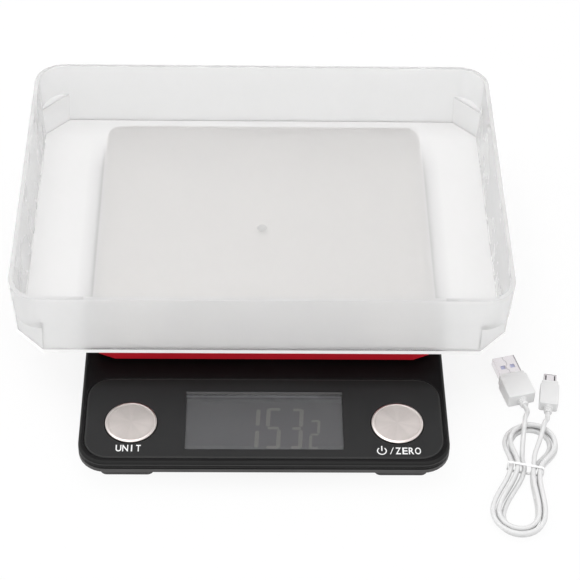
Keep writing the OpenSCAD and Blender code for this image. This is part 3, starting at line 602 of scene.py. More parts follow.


# Upper shell: its band is a painted highlight line round its wall, and its slope tone a painted highlight on its
# rounded edges.
BLACK_SHELL = LightShadeBandShell("black_shell", (0.0044, 0.004, 0.0044), vary=0.2, rough=(0.42, 0.55), specular=0.1,
                          grain=0.000012, edge=0.0012, edge_light=0.12, band=grey(0.043),
                          band_low=0.01575, band_high=0.0166, fade=0.0001, slope=grey(0.019))
# Lower shell: its dark band is painted shadow in the joint under the upper shell.
LOWER_SHELL = LightShadeBandShell("lower_shell", (0.082, 0.08, 0.08), vary=0.12, rough=(0.4, 0.52), specular=0.12,
                          grain=0.000012, edge=0.001, band=grey(0.001), band_low=0.0132,
                          band_high=0.02, fade=0.0001)
SOFT_RUBBER = Finish("soft_rubber", (0.02, 0.02, 0.021), rough=(0.7, 0.82), specular=0.25, grain=0.00003)
RED_CARRIER = Finish("red_carrier", (0.68, 0.013, 0.028), vary=0.05, rough=(0.42, 0.52), specular=0.3,
                     grain=0.000006, edge=0.0006, edge_light=0.2)
# The steel plate's darker tone along its sides is painted shade.
STEEL_PLATE = SideShadedSheet("weighing_plate", (0.82, 0.785, 0.75), vary=0.03, rough=(0.3, 0.42), metallic=1.0,
                          grain=0.000004, edge=0.0006, side=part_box("steel_plate")[1][0])
ZINC_SCREW = Finish("zinc_screw", (0.62, 0.62, 0.6), rough=(0.28, 0.4), metallic=1.0, grain=0.000004)
BRACKET = BrushedMetal("bracket_steel", (0.6, 0.61, 0.62), rough=(0.32, 0.45), metallic=1.0, grain=0.000005)
CELL_BAR = BrushedMetal("load_cell_bar", (0.72, 0.73, 0.74), rough=(0.3, 0.42), metallic=1.0, grain=0.000006,
                        along=Axis.Y)
CIRCUIT_BOARD = Finish("circuit_board", (0.02, 0.13, 0.05), vary=0.15, vary_scale=160.0, rough=(0.3, 0.42),
                       grain=0.00001)
CHIP = Finish("chip_case", (0.015, 0.015, 0.016), rough=(0.5, 0.6), grain=0.00001)
SWITCH = Finish("switch_case", grey(0.02), rough=(0.35, 0.45))
SOCKET_SHELL = Finish("socket_shell", (0.7, 0.7, 0.68), rough=(0.22, 0.32), metallic=1.0, grain=0.000003)
FOIL = Finish("battery_foil", (0.6, 0.61, 0.63), vary=0.1, rough=(0.3, 0.42), metallic=0.7, grain=0.00004,
              grain_scale=600.0)
RED_LEAD = Finish("red_lead", (0.45, 0.02, 0.02), rough=(0.35, 0.45))
PALE_LEAD = Finish("pale_lead", grey(0.7), rough=(0.35, 0.45))
DIFFUSER = Finish("light_diffuser", grey(0.8), vary=0.02, rough=(0.4, 0.5))
ZEBRA = Finish("contact_rubber", (0.55, 0.3, 0.36), vary=0.2, vary_scale=900.0, rough=(0.6, 0.7))
DARK_STEM = Finish("button_stem", (0.015, 0.015, 0.016), rough=(0.4, 0.5), grain=0.00001)
PALE_PLUNGER = Finish("switch_plunger", grey(0.6), rough=(0.35, 0.45))
FROSTED = ClearPlastic("frosted_mark", grey(0.985), vary=0.004, rough=(0.2, 0.26), grain=0.000003,
                       grain_scale=1800.0, index=1.42, clear=0.75)
# Opaque white of the ring that paints a highlight along the tray's bottom edge.
FOOT_HIGHLIGHT = Finish("painted_foot_highlight", (0.99, 0.985, 0.985), vary=0.01, rough=(0.4, 0.5), grain=0.000003)
SMOKED = ClearPlastic("smoked_window", (0.72, 0.72, 0.73), vary=0.01, rough=(0.04, 0.046), grain=0.0000001,
                      index=1.45)
CORD_WHITE = Finish("cord_white", grey(0.7), vary=0.015, rough=(0.38, 0.48), grain=0.000004,
                    grain_scale=3000.0)
PLUG_WHITE = Finish("plug_white", grey(0.78), vary=0.012, rough=(0.42, 0.52), grain=0.000006)
SMALL_PLUG_WHITE = Finish("small_plug_white", grey(0.72), vary=0.012, rough=(0.42, 0.52), grain=0.000006)
PLUG_STEEL = Finish("plug_steel", (0.76, 0.73, 0.75), vary=0.02, rough=(0.18, 0.26), metallic=1.0,
                    grain=0.000002, edge=0.0002)
TONGUE_WHITE = Finish("tongue_white", (0.45, 0.5, 0.72), vary=0.02, rough=(0.4, 0.5))
TONGUE_TOP = Finish("tongue_top", (0.46, 0.47, 0.66), vary=0.06, vary_scale=900.0, rough=(0.35, 0.45))
BAND_WHITE = Finish("band_white", grey(0.93), vary=0.01, rough=(0.3, 0.4), grain=0.000003)
# Film that paints the reflection seen at the display window's back edge.
WINDOW_REFLECTION = Finish("painted_window_reflection", (0.068, 0.068, 0.07), vary=0.05, rough=(0.5, 0.6), grain=0.000001)
PRINT = Finish("white_print", grey(0.82), vary=0.03, rough=(0.5, 0.6), grain=0.000003)
SEAM_DARK = Finish("seam_shadow", (0.3, 0.29, 0.3), vary=0.08, rough=(0.5, 0.6), metallic=0.6, grain=0.000002)
SLOT_DARK = Finish("slot_shadow", (0.03, 0.027, 0.03), vary=0.1, rough=(0.5, 0.6), grain=0.000002)

NODE_FINISHES: dict[str, Finish] = {
    "upper_housing": BLACK_SHELL, "lower_housing": LOWER_SHELL, "rubber_feet": SOFT_RUBBER,
    "housing_screws": ZINC_SCREW, "display_lens": SMOKED,
    "lcd_backlight": DIFFUSER, "lcd_contact_strips": ZEBRA, "main_board": CIRCUIT_BOARD, "board_chips": CHIP,
    "board_screws": ZINC_SCREW, "key_switches": SWITCH, "usb_socket": SOCKET_SHELL, "battery": FOIL,
    "battery_lead": RED_LEAD, "load_cell": CELL_BAR, "load_cell_lead": PALE_LEAD,
    "load_cell_screws": ZINC_SCREW, "load_bracket": BRACKET, "bracket_screws": ZINC_SCREW,
    "platform_carrier": RED_CARRIER, "carrier_screws": ZINC_SCREW, "steel_plate": STEEL_PLATE,
    "unit_button_stem": DARK_STEM, "zero_button_stem": DARK_STEM, "unit_switch_plunger": PALE_PLUNGER,
    "zero_switch_plunger": PALE_PLUNGER, "usb_a_shell": PLUG_STEEL, "usb_a_tongue": TONGUE_WHITE,
    "micro_usb_shell": PLUG_STEEL,
}


def dress_node(name: str, finish: Finish) -> None:
    """Gives a CAD node its material.

    Args:
        name: The node.
        finish: Its finish.
    """
    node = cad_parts[name]
    material = finish.material()
    for slot in node.material_slots:
        slot.material = material
    if not node.material_slots:
        node.data.materials.append(material)
    log.info("node %s: %s", name, finish.name)


# ---------------------------------------------------------------- mesh work


def to_piece(bm: bmesh.types.BMesh, name: str, finish: Finish, body: Body,
             sharp: float = 32.0) -> bpy.types.Object:
    """Makes a scene object of a finished bmesh.

    Args:
        bm: The shape, which is used up.
        name: Name of the piece.
        finish: Its finish.
        body: The CAD body that it rides on.
        sharp: Angle in degrees past which an edge stays crisp.

    Returns:
        The new object.
    """
    bmesh.ops.remove_doubles(bm, verts=bm.verts, dist=MERGE)
    bmesh.ops.recalc_face_normals(bm, faces=bm.faces)
    for face in bm.faces:
        face.smooth = True
    for edge in bm.edges:
        edge.smooth = edge.calc_face_angle(0.0) < math.radians(sharp)
    mesh = bpy.data.meshes.new(name)
    bm.to_mesh(mesh)
    bm.free()
    return enrol(bpy.data.objects.new(name, mesh), finish, body)


def enrol(piece: bpy.types.Object, finish: Finish, body: Body) -> bpy.types.Object:
    """Puts a piece in the scene, dresses it and lets it ride.

    Args:
        piece: The object.
        finish: Its finish.
        body: The CAD body that it rides on.

    Returns:
        The same object.
    """
    bpy.context.scene.collection.objects.link(piece)
    piece.data.materials.clear()
    piece.data.materials.append(finish.material())
    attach(piece, body.value)
    log.info("piece %s rides on %s", piece.name, body.value)
    return piece


def add_block(bm: bmesh.types.BMesh, low: Point, high: Point, corner: float, segments: int,
              soft: float = 0.0) -> None:
    """Adds a box whose upright edges, and then all others, are rounded.

    Args:
        bm: Where the box goes.
        low: Lowest corner.
        high: Highest corner.
        corner: Radius of the upright edges.
        segments: Facets of each upright edge.
        soft: Radius of the remaining edges.
    """
    part = bmesh.new()
    bmesh.ops.create_cube(part, size=1.0)
    size = [b - a for a, b in zip(low, high)]
    middle = [(a + b) / 2 for a, b in zip(low, high)]
    bmesh.ops.scale(part, vec=size, verts=part.verts)
    bmesh.ops.translate(part, vec=middle, verts=part.verts)
    round_edges(part, upright_edges(part), corner, segments)
    if soft:
        round_edges(part, sharp_edges(part), soft, 3)
    join_into(bm, part)


def join_into(bm: bmesh.types.BMesh, part: bmesh.types.BMesh) -> list[bmesh.types.BMVert]:
    """Moves one bmesh into another.

    Args:
        bm: The one that grows.
        part: The one that is used up.

    Returns:
        The vertices that came over.
    """
    mesh = bpy.data.meshes.new("part")
    part.to_mesh(mesh)
    part.free()
    before = len(bm.verts)
    bm.from_mesh(mesh)
    bpy.data.meshes.remove(mesh)
    bm.verts.ensure_lookup_table()
    return list(bm.verts)[before:]


def new_verts(result: dict[str, list]) -> list[bmesh.types.BMVert]:
    """Gives the vertices that an extrusion has added."""
    return [v for v in result["geom"] if isinstance(v, bmesh.types.BMVert)]


def sharp_edges(bm: bmesh.types.BMesh) -> list[bmesh.types.BMEdge]:
    """Gives the edges whose faces meet at more than 60 degrees."""
    return [e for e in bm.edges if e.calc_face_angle(0.0) > math.radians(60)]


def upright_edges(bm: bmesh.types.BMesh) -> list[bmesh.types.BMEdge]:
    """Gives the edges that run along Z."""
    return [e for e in bm.edges if abs((e.verts[0].co - e.verts[1].co).normalized().z) > 0.9]


def round_edges(bm: bmesh.types.BMesh, edges: list[bmesh.types.BMEdge], radius: float, segments: int) -> None:
    """Rounds edges."""
    bmesh.ops.bevel(bm, geom=edges, offset=radius, segments=segments, profile=0.5, affect="EDGES", material=-1)


def flat_ring(size: Spot, corner: float, facets: int, rim: float, rise: float
              ) -> tuple[bmesh.types.BMesh, list[bmesh.types.BMVert]]:
    """Makes a rectangular ring that lies level round the origin.

    Args:
        size: Outer width and length.
        corner: How far each corner is cut or rounded.
        facets: Facets of each corner.
        rim: Width of the ring.
        rise: Height of the ring.

    Returns:
        The ring and its upper vertices.
    """
    bm = bmesh.new()
    bmesh.ops.create_grid(bm, x_segments=1, y_segments=1, size=0.5)
    bmesh.ops.scale(bm, vec=(*size, 1.0), verts=bm.verts)
    bmesh.ops.bevel(bm, geom=bm.verts[:], offset=corner, segments=facets, profile=0.5, affect="VERTICES",
                    material=-1)
    bmesh.ops.inset_region(bm, faces=bm.faces[:], thickness=rim, use_even_offset=True, use_boundary=True)
    middle = max(bm.faces, key=lambda f: f.calc_area())
    bmesh.ops.delete(bm, geom=[middle], context="FACES_ONLY")
    raised = new_verts(bmesh.ops.extrude_face_region(bm, geom=bm.faces[:]))
    bmesh.ops.translate(bm, vec=(0, 0, rise), verts=raised)
    return bm, raised


def turn_profile(bm: bmesh.types.BMesh, profile: list[Spot], middle: Point, steps: int
                 ) -> list[bmesh.types.BMVert]:
    """Spins a line of radius and height about an upright axis.

    Args:
        bm: Where the turned form goes.
        profile: Radius and height of each point.
        middle: A point on the axis.
        steps: Facets round the form.

    Returns:
        The vertices of the form.
    """
    part = bmesh.new()
    line = [part.verts.new((middle[0] + r, middle[1], middle[2] + z)) for r, z in profile]
    edges = [part.edges.new(pair) for pair in zip(line, line[1:])]
    bmesh.ops.spin(part, geom=line + edges, cent=middle, axis=(0, 0, 1), angle=math.tau, steps=steps,
                   use_merge=True, use_duplicate=False)
    bmesh.ops.remove_doubles(part, verts=part.verts, dist=MERGE)
    return join_into(bm, part)


# ---------------------------------------------------------------- studio


@dataclass
class Studio:
    """Plain pale room: floor, soft lamps, pale surround and the camera of the photograph."""

    floor_size: float = 6.0
    floor_z: float = -0.00005
    floor_colour: Colour = grey(0.86)
    glow_middle: Point = (0.0, 0.06, 0.0)
    glow_share: Spot = (0.83, 0.94)
    glow_reach: Spot = (0.15, 0.19)
    ambient: float = 0.74
    camera_place: Point = (-0.0081356, -0.6967203, 0.7210365)
    yaw: float = 0.0318
    pitch: float = 0.7905
    roll: float = 0.0278
    focal: float = 1840.54
    frame_width: int = 580
    lamps: tuple[tuple[str, Point, float, float], ...] = (
        ("overhead_lamp", (-0.15, 0.15, 1.3), 1.1, 7.2), ("front_lamp", (0.55, -0.9, 1.0), 0.7, 3.0),
        ("left_lamp", (-1.0, -0.1, 0.9), 0.7, 2.4))
    lamp_aim: Point = (0.0, 0.0, 0.02)

    def build_camera(self) -> None:
        """Builds the camera and makes it the scene's."""
        ahead = Vector((math.sin(self.yaw) * math.cos(self.pitch), math.cos(self.yaw) * math.cos(self.pitch),
                        -math.sin(self.pitch)))
        level = Vector((math.cos(self.yaw), -math.sin(self.yaw), 0.0))
        upright = level.cross(ahead)
        right = math.cos(self.roll) * level + math.sin(self.roll) * upright
        up = math.cos(self.roll) * upright - math.sin(self.roll) * level
        data = bpy.data.cameras.new("photo_camera")
        data.sensor_width = 36.0
        data.lens = self.focal * data.sensor_width / self.frame_width
        data.clip_start, data.clip_end = 0.01, 20.0
        camera = bpy.data.objects.new("photo_camera", data)
        turned = Matrix((right, up, -ahead)).transposed().to_4x4()
        camera.matrix_world = Matrix.Translation(self.camera_place) @ turned
        bpy.context.scene.collection.objects.link(camera)
        bpy.context.scene.camera = camera
        log.info("camera with a %.1f mm lens", data.lens)

    @staticmethod
    def shown_share(nodes: Nodes) -> bpy.types.NodeSocket:
        """Gives 1 for what the camera, a mirror or a clear part shows, and 0 for what only lights.

        Args:
            nodes: Where the nodes go.

        Returns:
            The share.
        """
        path = nodes.add("ShaderNodeLightPath")
        mirror = nodes.math("MAXIMUM", path.outputs["Is Camera Ray"], path.outputs["Is Glossy Ray"])
        return nodes.math("MAXIMUM", mirror, path.outputs["Is Transmission Ray"])

    def build_surround(self) -> None:
        """Builds the pale surround, white where it shows."""
        world = bpy.data.worlds.new("pale_surround")
        world.use_nodes = True
        bpy.context.scene.world = world
        nodes = Nodes(world.node_tree)
        background = world.node_tree.nodes["Background"]
        background.inputs["Color"].default_value = (1.0, 1.0, 1.0, 1.0)
        strength = nodes.remap(self.shown_share(nodes), self.ambient, 1.0, 0.0, 1.0)
        world.node_tree.links.new(strength, background.inputs["Strength"])

    def build_floor(self) -> None:
        """Builds the white floor, which keeps a faint shadow. Its glow is painted light, weaker round the tray, where
        the shadow stays, and stronger further out, where it washes the shadow away.
        """
        bm = bmesh.new()
        bmesh.ops.create_grid(bm, x_segments=2, y_segments=2, size=self.floor_size / 2)
        bmesh.ops.translate(bm, vec=(0, 0, self.floor_z), verts=bm.verts)
        mesh = bpy.data.meshes.new("floor")
        bm.to_mesh(mesh)
        bm.free()
        floor = bpy.data.objects.new("floor", mesh)
        bpy.context.scene.collection.objects.link(floor)
        material = bpy.data.materials.new("white_floor")
        material.use_nodes = True
        nodes = Nodes(material.node_tree)
        matt = material.node_tree.nodes["Principled BSDF"]
        matt.inputs["Base Color"].default_value = (*self.floor_colour, 1.0)
        matt.inputs["Roughness"].default_value = 0.9
        matt.inputs["Specular IOR Level"].default_value = 0.0
        glow = nodes.add("ShaderNodeEmission", {"Color": (1.0, 1.0, 1.0, 1.0), "Strength": 1.0})
        place = nodes.vector("SUBTRACT", nodes.add("ShaderNodeTexCoord").outputs["Object"], self.glow_middle)
        share = nodes.product(self.shown_share(nodes),
                              nodes.remap(nodes.vector("LENGTH", place), *self.glow_share, *self.glow_reach))
        blend = nodes.add("ShaderNodeMixShader", {0: share, 1: matt.outputs[0], 2: glow.outputs[0]})
        out = material.node_tree.nodes["Material Output"]
        material.node_tree.links.new(blend.outputs[0], out.inputs["Surface"])
        mesh.materials.append(material)

    def build_lamps(self) -> None:
        """Hangs three broad soft lamps round the object, each with its name, place, size and power."""
        for name, place, size, power in self.lamps:
            data = bpy.data.lights.new(name, "AREA")
            data.shape, data.size, data.energy = "DISK", size, power
            lamp = bpy.data.objects.new(name, data)
            aim = Vector(self.lamp_aim) - Vector(place)
            lamp.matrix_world = Matrix.Translation(place) @ aim.to_track_quat("-Z", "Y").to_matrix().to_4x4()
            bpy.context.scene.collection.objects.link(lamp)

    def build(self) -> None:
        """Builds the whole studio."""
        self.build_camera()
        self.build_surround()
        self.build_floor()
        self.build_lamps()
        bpy.context.scene.view_settings.view_transform = "Standard"


# ---------------------------------------------------------------- charging cable


@dataclass(frozen=True)
class Plug:
    """Moulded plug, whose own X runs from its back face to its tip."""

    at: Point
    turn: float
    body: Point
    metal: Point
    neck: float
    step: float
    finish: Finish
    inset: float = 0.0006
    overlap: float = 0.001
    flare: float = 0.0012
    ribs: int = 3
    rib_step: float = 0.001
    rib_depth: float = 0.00024
    mark_sunk: float = 0.00002
    mark_proud: float = 0.00001

    def mark_heights(self) -> Spot:
        """Gives the lower and upper height of a thin mark on top of the metal."""
        return self.metal[2] / 2 - self.mark_sunk, self.metal[2] / 2 + self.mark_proud

    def behind(self, back: float) -> Vector:
        """Gives the point so far behind the back face."""
        return Vector((self.at[0] - back * math.cos(self.turn), self.at[1] - back * math.sin(self.turn), self.at[2]))

    def piece(self, bm: bmesh.types.BMesh, name: str, finish: Finish, slot: str) -> bpy.types.Object:
        """Moves a form from the plug's own frame to its place and makes it a piece.

        Args:
            bm: The form, which is used up.
            name: Name of the piece.
            finish: Its finish.
            slot: Not used.

        Returns:
            The new object.
        """
        bmesh.ops.transform(bm, matrix=Matrix.Translation(self.at) @ Matrix.Rotation(self.turn, 4, "Z"),
                            verts=bm.verts)
        return to_piece(bm, name, finish, Body.HOUSING)

    def build_grip(self, name: str, relief_l: float, relief_d: float) -> bpy.types.Object:
        """Builds the moulded grip with a step at its front and a tapered relief behind.

        Args:
            name: Name of the piece.
            relief_l: Length of the relief.
            relief_d: Named diameter of the relief.

        Returns:
            The grip.
        """
        length, width, height = self.body
        bm = bmesh.new()
        add_block(bm, (0.0, -width / 2, -height / 2), (length - self.step, width / 2, height / 2), 0.0011, 5,
                  0.00055)
        add_block(bm, (length - self.step - self.overlap, self.inset - width / 2, self.inset - height / 2),
                  (length, width / 2 - self.inset, height / 2 - self.inset), 0.0009, 5, 0.00045)
        big, small = (relief_d - self.neck + self.flare) / 2, (relief_d - self.neck) / 2
        profile = [(0.0, -self.overlap), (big, -self.overlap), (big, 0.0004)]
        for i in range(self.ribs):
            z = 0.0006 + i * self.rib_step
            r = big + (small - big) * (z / relief_l)
            low = r - self.rib_depth
            profile += [(low, z), (low, z + 0.00035), (r, z + 0.00045), (r, z + 0.0009)]
        profile += [(small, relief_l), (0.0, relief_l)]
        turned = turn_profile(bm, profile, (0.0, 0.0, 0.0), 40)
        bmesh.ops.rotate(bm, cent=(0, 0, 0), matrix=Matrix.Rotation(-math.pi / 2, 3, "Y"), verts=turned)
        return self.piece(bm, name, self.finish, "cable_white")


@dataclass
class ChargingCable:
    """White cord wound into a hank, with a moulded plug at each end and a thin band at its waist."""

    cord_d: float = 0.0025
    run_up: float = 0.018
    run_low: float = 0.0285
    hank_b: float = 0.0075
    waist_b: float = 0.0014
    hank_step: float = 0.0031
    waist_spread: float = 0.08
    tie_t: float = 0.0007
    tie_w: float = 0.0012
    tie_gap: float = 0.0002
    band_side_gap: float = 0.0003
    band_top_gap: float = 0.00035
    layer_gap: float = 0.0005
    turns_in: float = 2.0
    turns_out: float = 1.5
    hank_at: Spot = (0.132, -0.1126)
    hank_turn: float = math.radians(77)
    usb_a: Plug = Plug((0.134, -0.0667, 0.004), math.radians(105), (0.017, 0.0148, 0.008),
                       (0.0122, 0.012, 0.0045), 0.0012, 0.0024, PLUG_WHITE)
    micro: Plug = Plug((0.1473, -0.071, 0.0031), math.radians(81), (0.017, 0.0098, 0.0062),
                       (0.0054, 0.00685, 0.0018), 0.0014, 0.0026, SMALL_PLUG_WHITE)
    relief_l: float = 0.004
    relief_d: float = 0.0052
    over_in: tuple[Point, ...] = ((0.0295, -0.0052, 0.0075), (0.017, -0.0044, 0.0046), (0.008, -0.0034, 0.0022))
    over_out: tuple[Point, ...] = ((0.009, 0.0026, 0.0053), (0.019, 0.004, 0.0069), (0.029, 0.0049, 0.0075))
    samples: int = 120
    steps: int = 8

    def run_of(self, u: float) -> float:
        """Gives the length of the run on the side of u."""
        return self.run_up if u > 0 else self.run_low

    def pinch(self, u: float) -> float:
        """Gives how far the loops are drawn in at u, from 0 to 1 at the waist."""
        run = self.run_of(u)
        return math.cos(math.pi / 2 * u / run) ** 2 if abs(u) < run else 0.0

    def half_width(self, u: float, o: float) -> float:
        """Gives half the width of the loop that lies o outside the innermost one, at u."""
        return self.hank_b + o - self.pinch(u) * (self.hank_b - self.waist_b - self.waist_spread * o)

    def spot(self, s: float, o: float) -> Spot:
        """Gives the place on a loop.

        Args:
            s: Way round the loop, from 0 to 24.
            o: Distance outside the innermost loop.

        Returns:
            The place along and across the hank.
        """
        if s < 2:
            u = -s / 2 * self.run_low
            return u, -self.half_width(u, o)
        if s < 10:
            a = math.radians((s - 2) * 22.5)
            return -self.run_low - (self.hank_b + o) * math.sin(a), -(self.hank_b + o) * math.cos(a)
        if s < 14:
            u = (s - 12) / 2 * (self.run_low if s < 12 else self.run_up)
            return u, self.half_width(u, o)
        if s < 22:
            a = math.radians((s - 14) * 22.5)
            return self.run_up + (self.hank_b + o) * math.sin(a), (self.hank_b + o) * math.cos(a)
        u = (24 - s) / 2 * self.run_up
        return u, -self.half_width(u, o)

    def to_table(self, u: float, v: float, z: float) -> Vector:
        """Turns a place in the hank's own frame into the scene's."""
        c, s = math.cos(self.hank_turn), math.sin(self.hank_turn)
        return Vector((self.hank_at[0] + u * c + v * s, self.hank_at[1] + u * s - v * c, z))

    def loop_point(self, turn: float) -> Vector:
        """Gives the cord's middle after so many turns, wound out on the table and back in on top.

        Args:
            turn: Turns from the outermost loop, negative on the way out to it.

        Returns:
            The place.
        """
        u, v = self.spot((turn * 24.0) % 24.0, self.hank_step * (self.turns_in - abs(turn)))
        x = min(1.0, max(0.0, 0.5 + turn * 4))
        lift = (self.cord_d + self.layer_gap) * x * x * (3 - 2 * x)
        return self.to_table(u, v, self.cord_d / 2 + (self.tie_t + self.tie_gap) * self.pinch(u) + lift)

    def smooth_line(self, points: list[Vector], start: Vector, end: Vector) -> list[Vector]:
        """Draws a smooth line through points.

        Args:
            points: The points.
            start: Direction at the first one.
            end: Direction at the last one.

        Returns:
            Points of the line between the first and the last, without them.
        """
        last = len(points) - 1
        heads = [start] + [(points[i + 1] - points[i - 1]).normalized() for i in range(1, last)] + [end]
        line = []
        for i in range(last):
            a, b = points[i], points[i + 1]
            length = (b - a).length
            for j in range(self.steps):
                if i + j == 0:
                    continue
                t = j / self.steps
                line.append((2 * t**3 - 3 * t**2 + 1) * a + (t**3 - 2 * t**2 + t) * length * heads[i]
                            + (3 * t**2 - 2 * t**3) * b + (t**3 - t**2) * length * heads[i + 1])
        return line

    def route(self) -> list[Vector]:
        """Gives the middle line of the whole cord, from the large plug to the small one.

        Returns:
            Its points.
        """
        count = round((self.turns_in + self.turns_out) * self.samples)
        loops = [self.loop_point(i / self.samples - self.turns_in) for i in range(count + 1)]
        first = [self.usb_a.behind(self.relief_l + b) for b in (0.0, self.cord_d)]
        final = [self.micro.behind(self.relief_l + b) for b in (self.cord_d, 0.0)]
        over_in, over_out = ([self.to_table(*p) for p in over] for over in (self.over_in, self.over_out))
        lead_in = self.smooth_line([first[1], *over_in, loops[0]], (first[1] - first[0]).normalized(),
                                   (loops[1] - loops[0]).normalized())
        lead_out = self.smooth_line([loops[-1], *over_out, final[0]], (loops[-1] - loops[-2]).normalized(),
                                    (final[1] - final[0]).normalized())
        return first + lead_in + loops + lead_out + final

    def build_cord(self) -> tuple[bpy.types.Object, float]:
        """Builds the cord as one open curve.

        Returns:
            The cord and its length.
        """
        points = self.route()
        length = sum((b - a).length for a, b in zip(points, points[1:]))
        curve = bpy.data.curves.new("cord", "CURVE")
        curve.dimensions = "3D"
        curve.bevel_depth = self.cord_d / 2
        curve.bevel_resolution = 5
        curve.use_fill_caps = True
        spline = curve.splines.new("POLY")
        spline.points.add(len(points) - 1)
        for target, point in zip(spline.points, points):
            target.co = (*point, 1.0)
        spline.use_smooth = True
        return enrol(bpy.data.objects.new("cord", curve), CORD_WHITE, Body.HOUSING), length

    def build_seam(self) -> bpy.types.Object:
        """Builds the zigzag seam in the large plug's metal, a hair above it, with a painted dark reflection along the
        metal's side edge.

        Returns:
            The seam.
        """
        bm = bmesh.new()
        start, (low, high) = self.usb_a.body[0] + 0.0002, self.usb_a.mark_heights()
        end, side = start + self.usb_a.metal[0] - 0.0004, -self.usb_a.metal[1] / 2
        shift = [0.0, 0.0, 0.0009, 0.0009, -0.0003, -0.0003, 0.0006, 0.0006]
        marks = [start + (end - start) * t for t in (0.0, 0.2, 0.27, 0.45, 0.55, 0.74, 0.82, 1.0)]
        line = [bm.verts.new((x, y - 0.0001, high)) for x, y in zip(marks, shift)]
        edges = [bm.edges.new(pair) for pair in zip(line, line[1:])]
        bmesh.ops.translate(bm, vec=(0, 0.00022, 0), verts=new_verts(bmesh.ops.extrude_edge_only(bm, edges=edges)))
        bmesh.ops.solidify(bm, geom=bm.faces[:], thickness=0.00003)
        # Painted dark reflection along the metal's rounded side edge.
        add_block(bm, (start, side + 0.00005, low), (end + 0.0001, side + 0.0006, high), 0.0002, 3)
        return self.usb_a.piece(bm, "usb_a_seam", SEAM_DARK, "plated_metal")

    def build_insert(self) -> bpy.types.Object:
        """Builds the raised top of the large plug's insert, seen through the two holes in its metal.

        Returns:
            The insert's top.
        """
        bm = bmesh.new()
        start, top = self.usb_a.body[0] + 0.0038, self.usb_a.metal[2] / 2 - 0.00034
        for y in (-0.0026, 0.0026):
            add_block(bm, (start - 0.0001, y - 0.0013, top - 0.0003), (start + 0.0025, y + 0.0013, top), 0.0004, 4)
        return self.usb_a.piece(bm, "usb_a_insert_top", TONGUE_TOP, "white_plastic")

    def build_slots(self) -> bpy.types.Object:
        """Builds the two slots in the top of the small plug's metal, dark as painted shade, and painted dark lines
        along the metal's front edge and one side.

        Returns:
            The slots.
        """
        bm = bmesh.new()
        back, (low, high) = self.micro.body[0], self.micro.mark_heights()
        tip = back + self.micro.metal[0]
        for y in (-0.0023, 0.0023):
            add_block(bm, (back + 0.0007, y - 0.00036, low),
                      (tip - 0.0008, y + 0.00036, high + self.micro.mark_proud), 0.0003, 5)
        # Painted dark lines along the metal's front edge and along one side.
        add_block(bm, (tip - 0.0003, -0.003, low), (tip - 0.00005, 0.003, high), 0.0001, 3)
        add_block(bm, (back + 0.0002, 0.00315, low), (tip - 0.0004, 0.00335, high), 0.0001, 3)
        return self.micro.piece(bm, "micro_usb_slots", SLOT_DARK, "plated_metal")

    def build_band(self) -> bpy.types.Object:
        """Builds the thin band that holds the hank at its waist.

        Returns:
            The band.
        """
        left, right = (self.half_width(0.0, turns * self.hank_step) + self.cord_d / 2 + self.band_side_gap
                       for turns in (self.turns_in, self.turns_in - 0.5))
        tall = self.cord_d * 2 + self.layer_gap + self.band_top_gap
        width, height = left + right + 2 * self.tie_t, tall + 2 * self.tie_t
        bm, _ = flat_ring((width, height), 0.0017, 8, self.tie_t, self.tie_w)
        round_edges(bm, sharp_edges(bm), 0.0002, 2)
        bmesh.ops.translate(bm, vec=(0, 0, -self.tie_w / 2), verts=bm.verts)
        stand = Matrix(((0, 0, 1, 0), (1, 0, 0, 0), (0, 1, 0, 0), (0, 0, 0, 1)))
        move = Matrix.Translation((*self.hank_at, 0.0)) @ Matrix.Rotation(self.hank_turn, 4, "Z") \
            @ Matrix.Translation((0.0, (left - right) / 2, height / 2))
        bmesh.ops.transform(bm, matrix=move @ stand, verts=bm.verts)
        return to_piece(bm, "hank_band", BAND_WHITE, Body.HOUSING)

    def build(self) -> None:
        """Builds the cable."""
        cord, length = self.build_cord()
        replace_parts(cord, "cable_hank")
        large = self.usb_a.build_grip("usb_a_grip", self.relief_l, self.relief_d)
        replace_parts(large, "usb_a_overmould")
        small = self.micro.build_grip("micro_usb_grip", self.relief_l, self.relief_d)
        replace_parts(small, "micro_usb_overmould")
        seam, slots, insert = self.build_seam(), self.build_slots(), self.build_insert()
        band = self.build_band()
        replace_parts(band, "cable_tie")
        exit_at = self.usb_a.behind(self.relief_l)
        log.info("cord %.4f m long", length)


# ---------------------------------------------------------------- tray


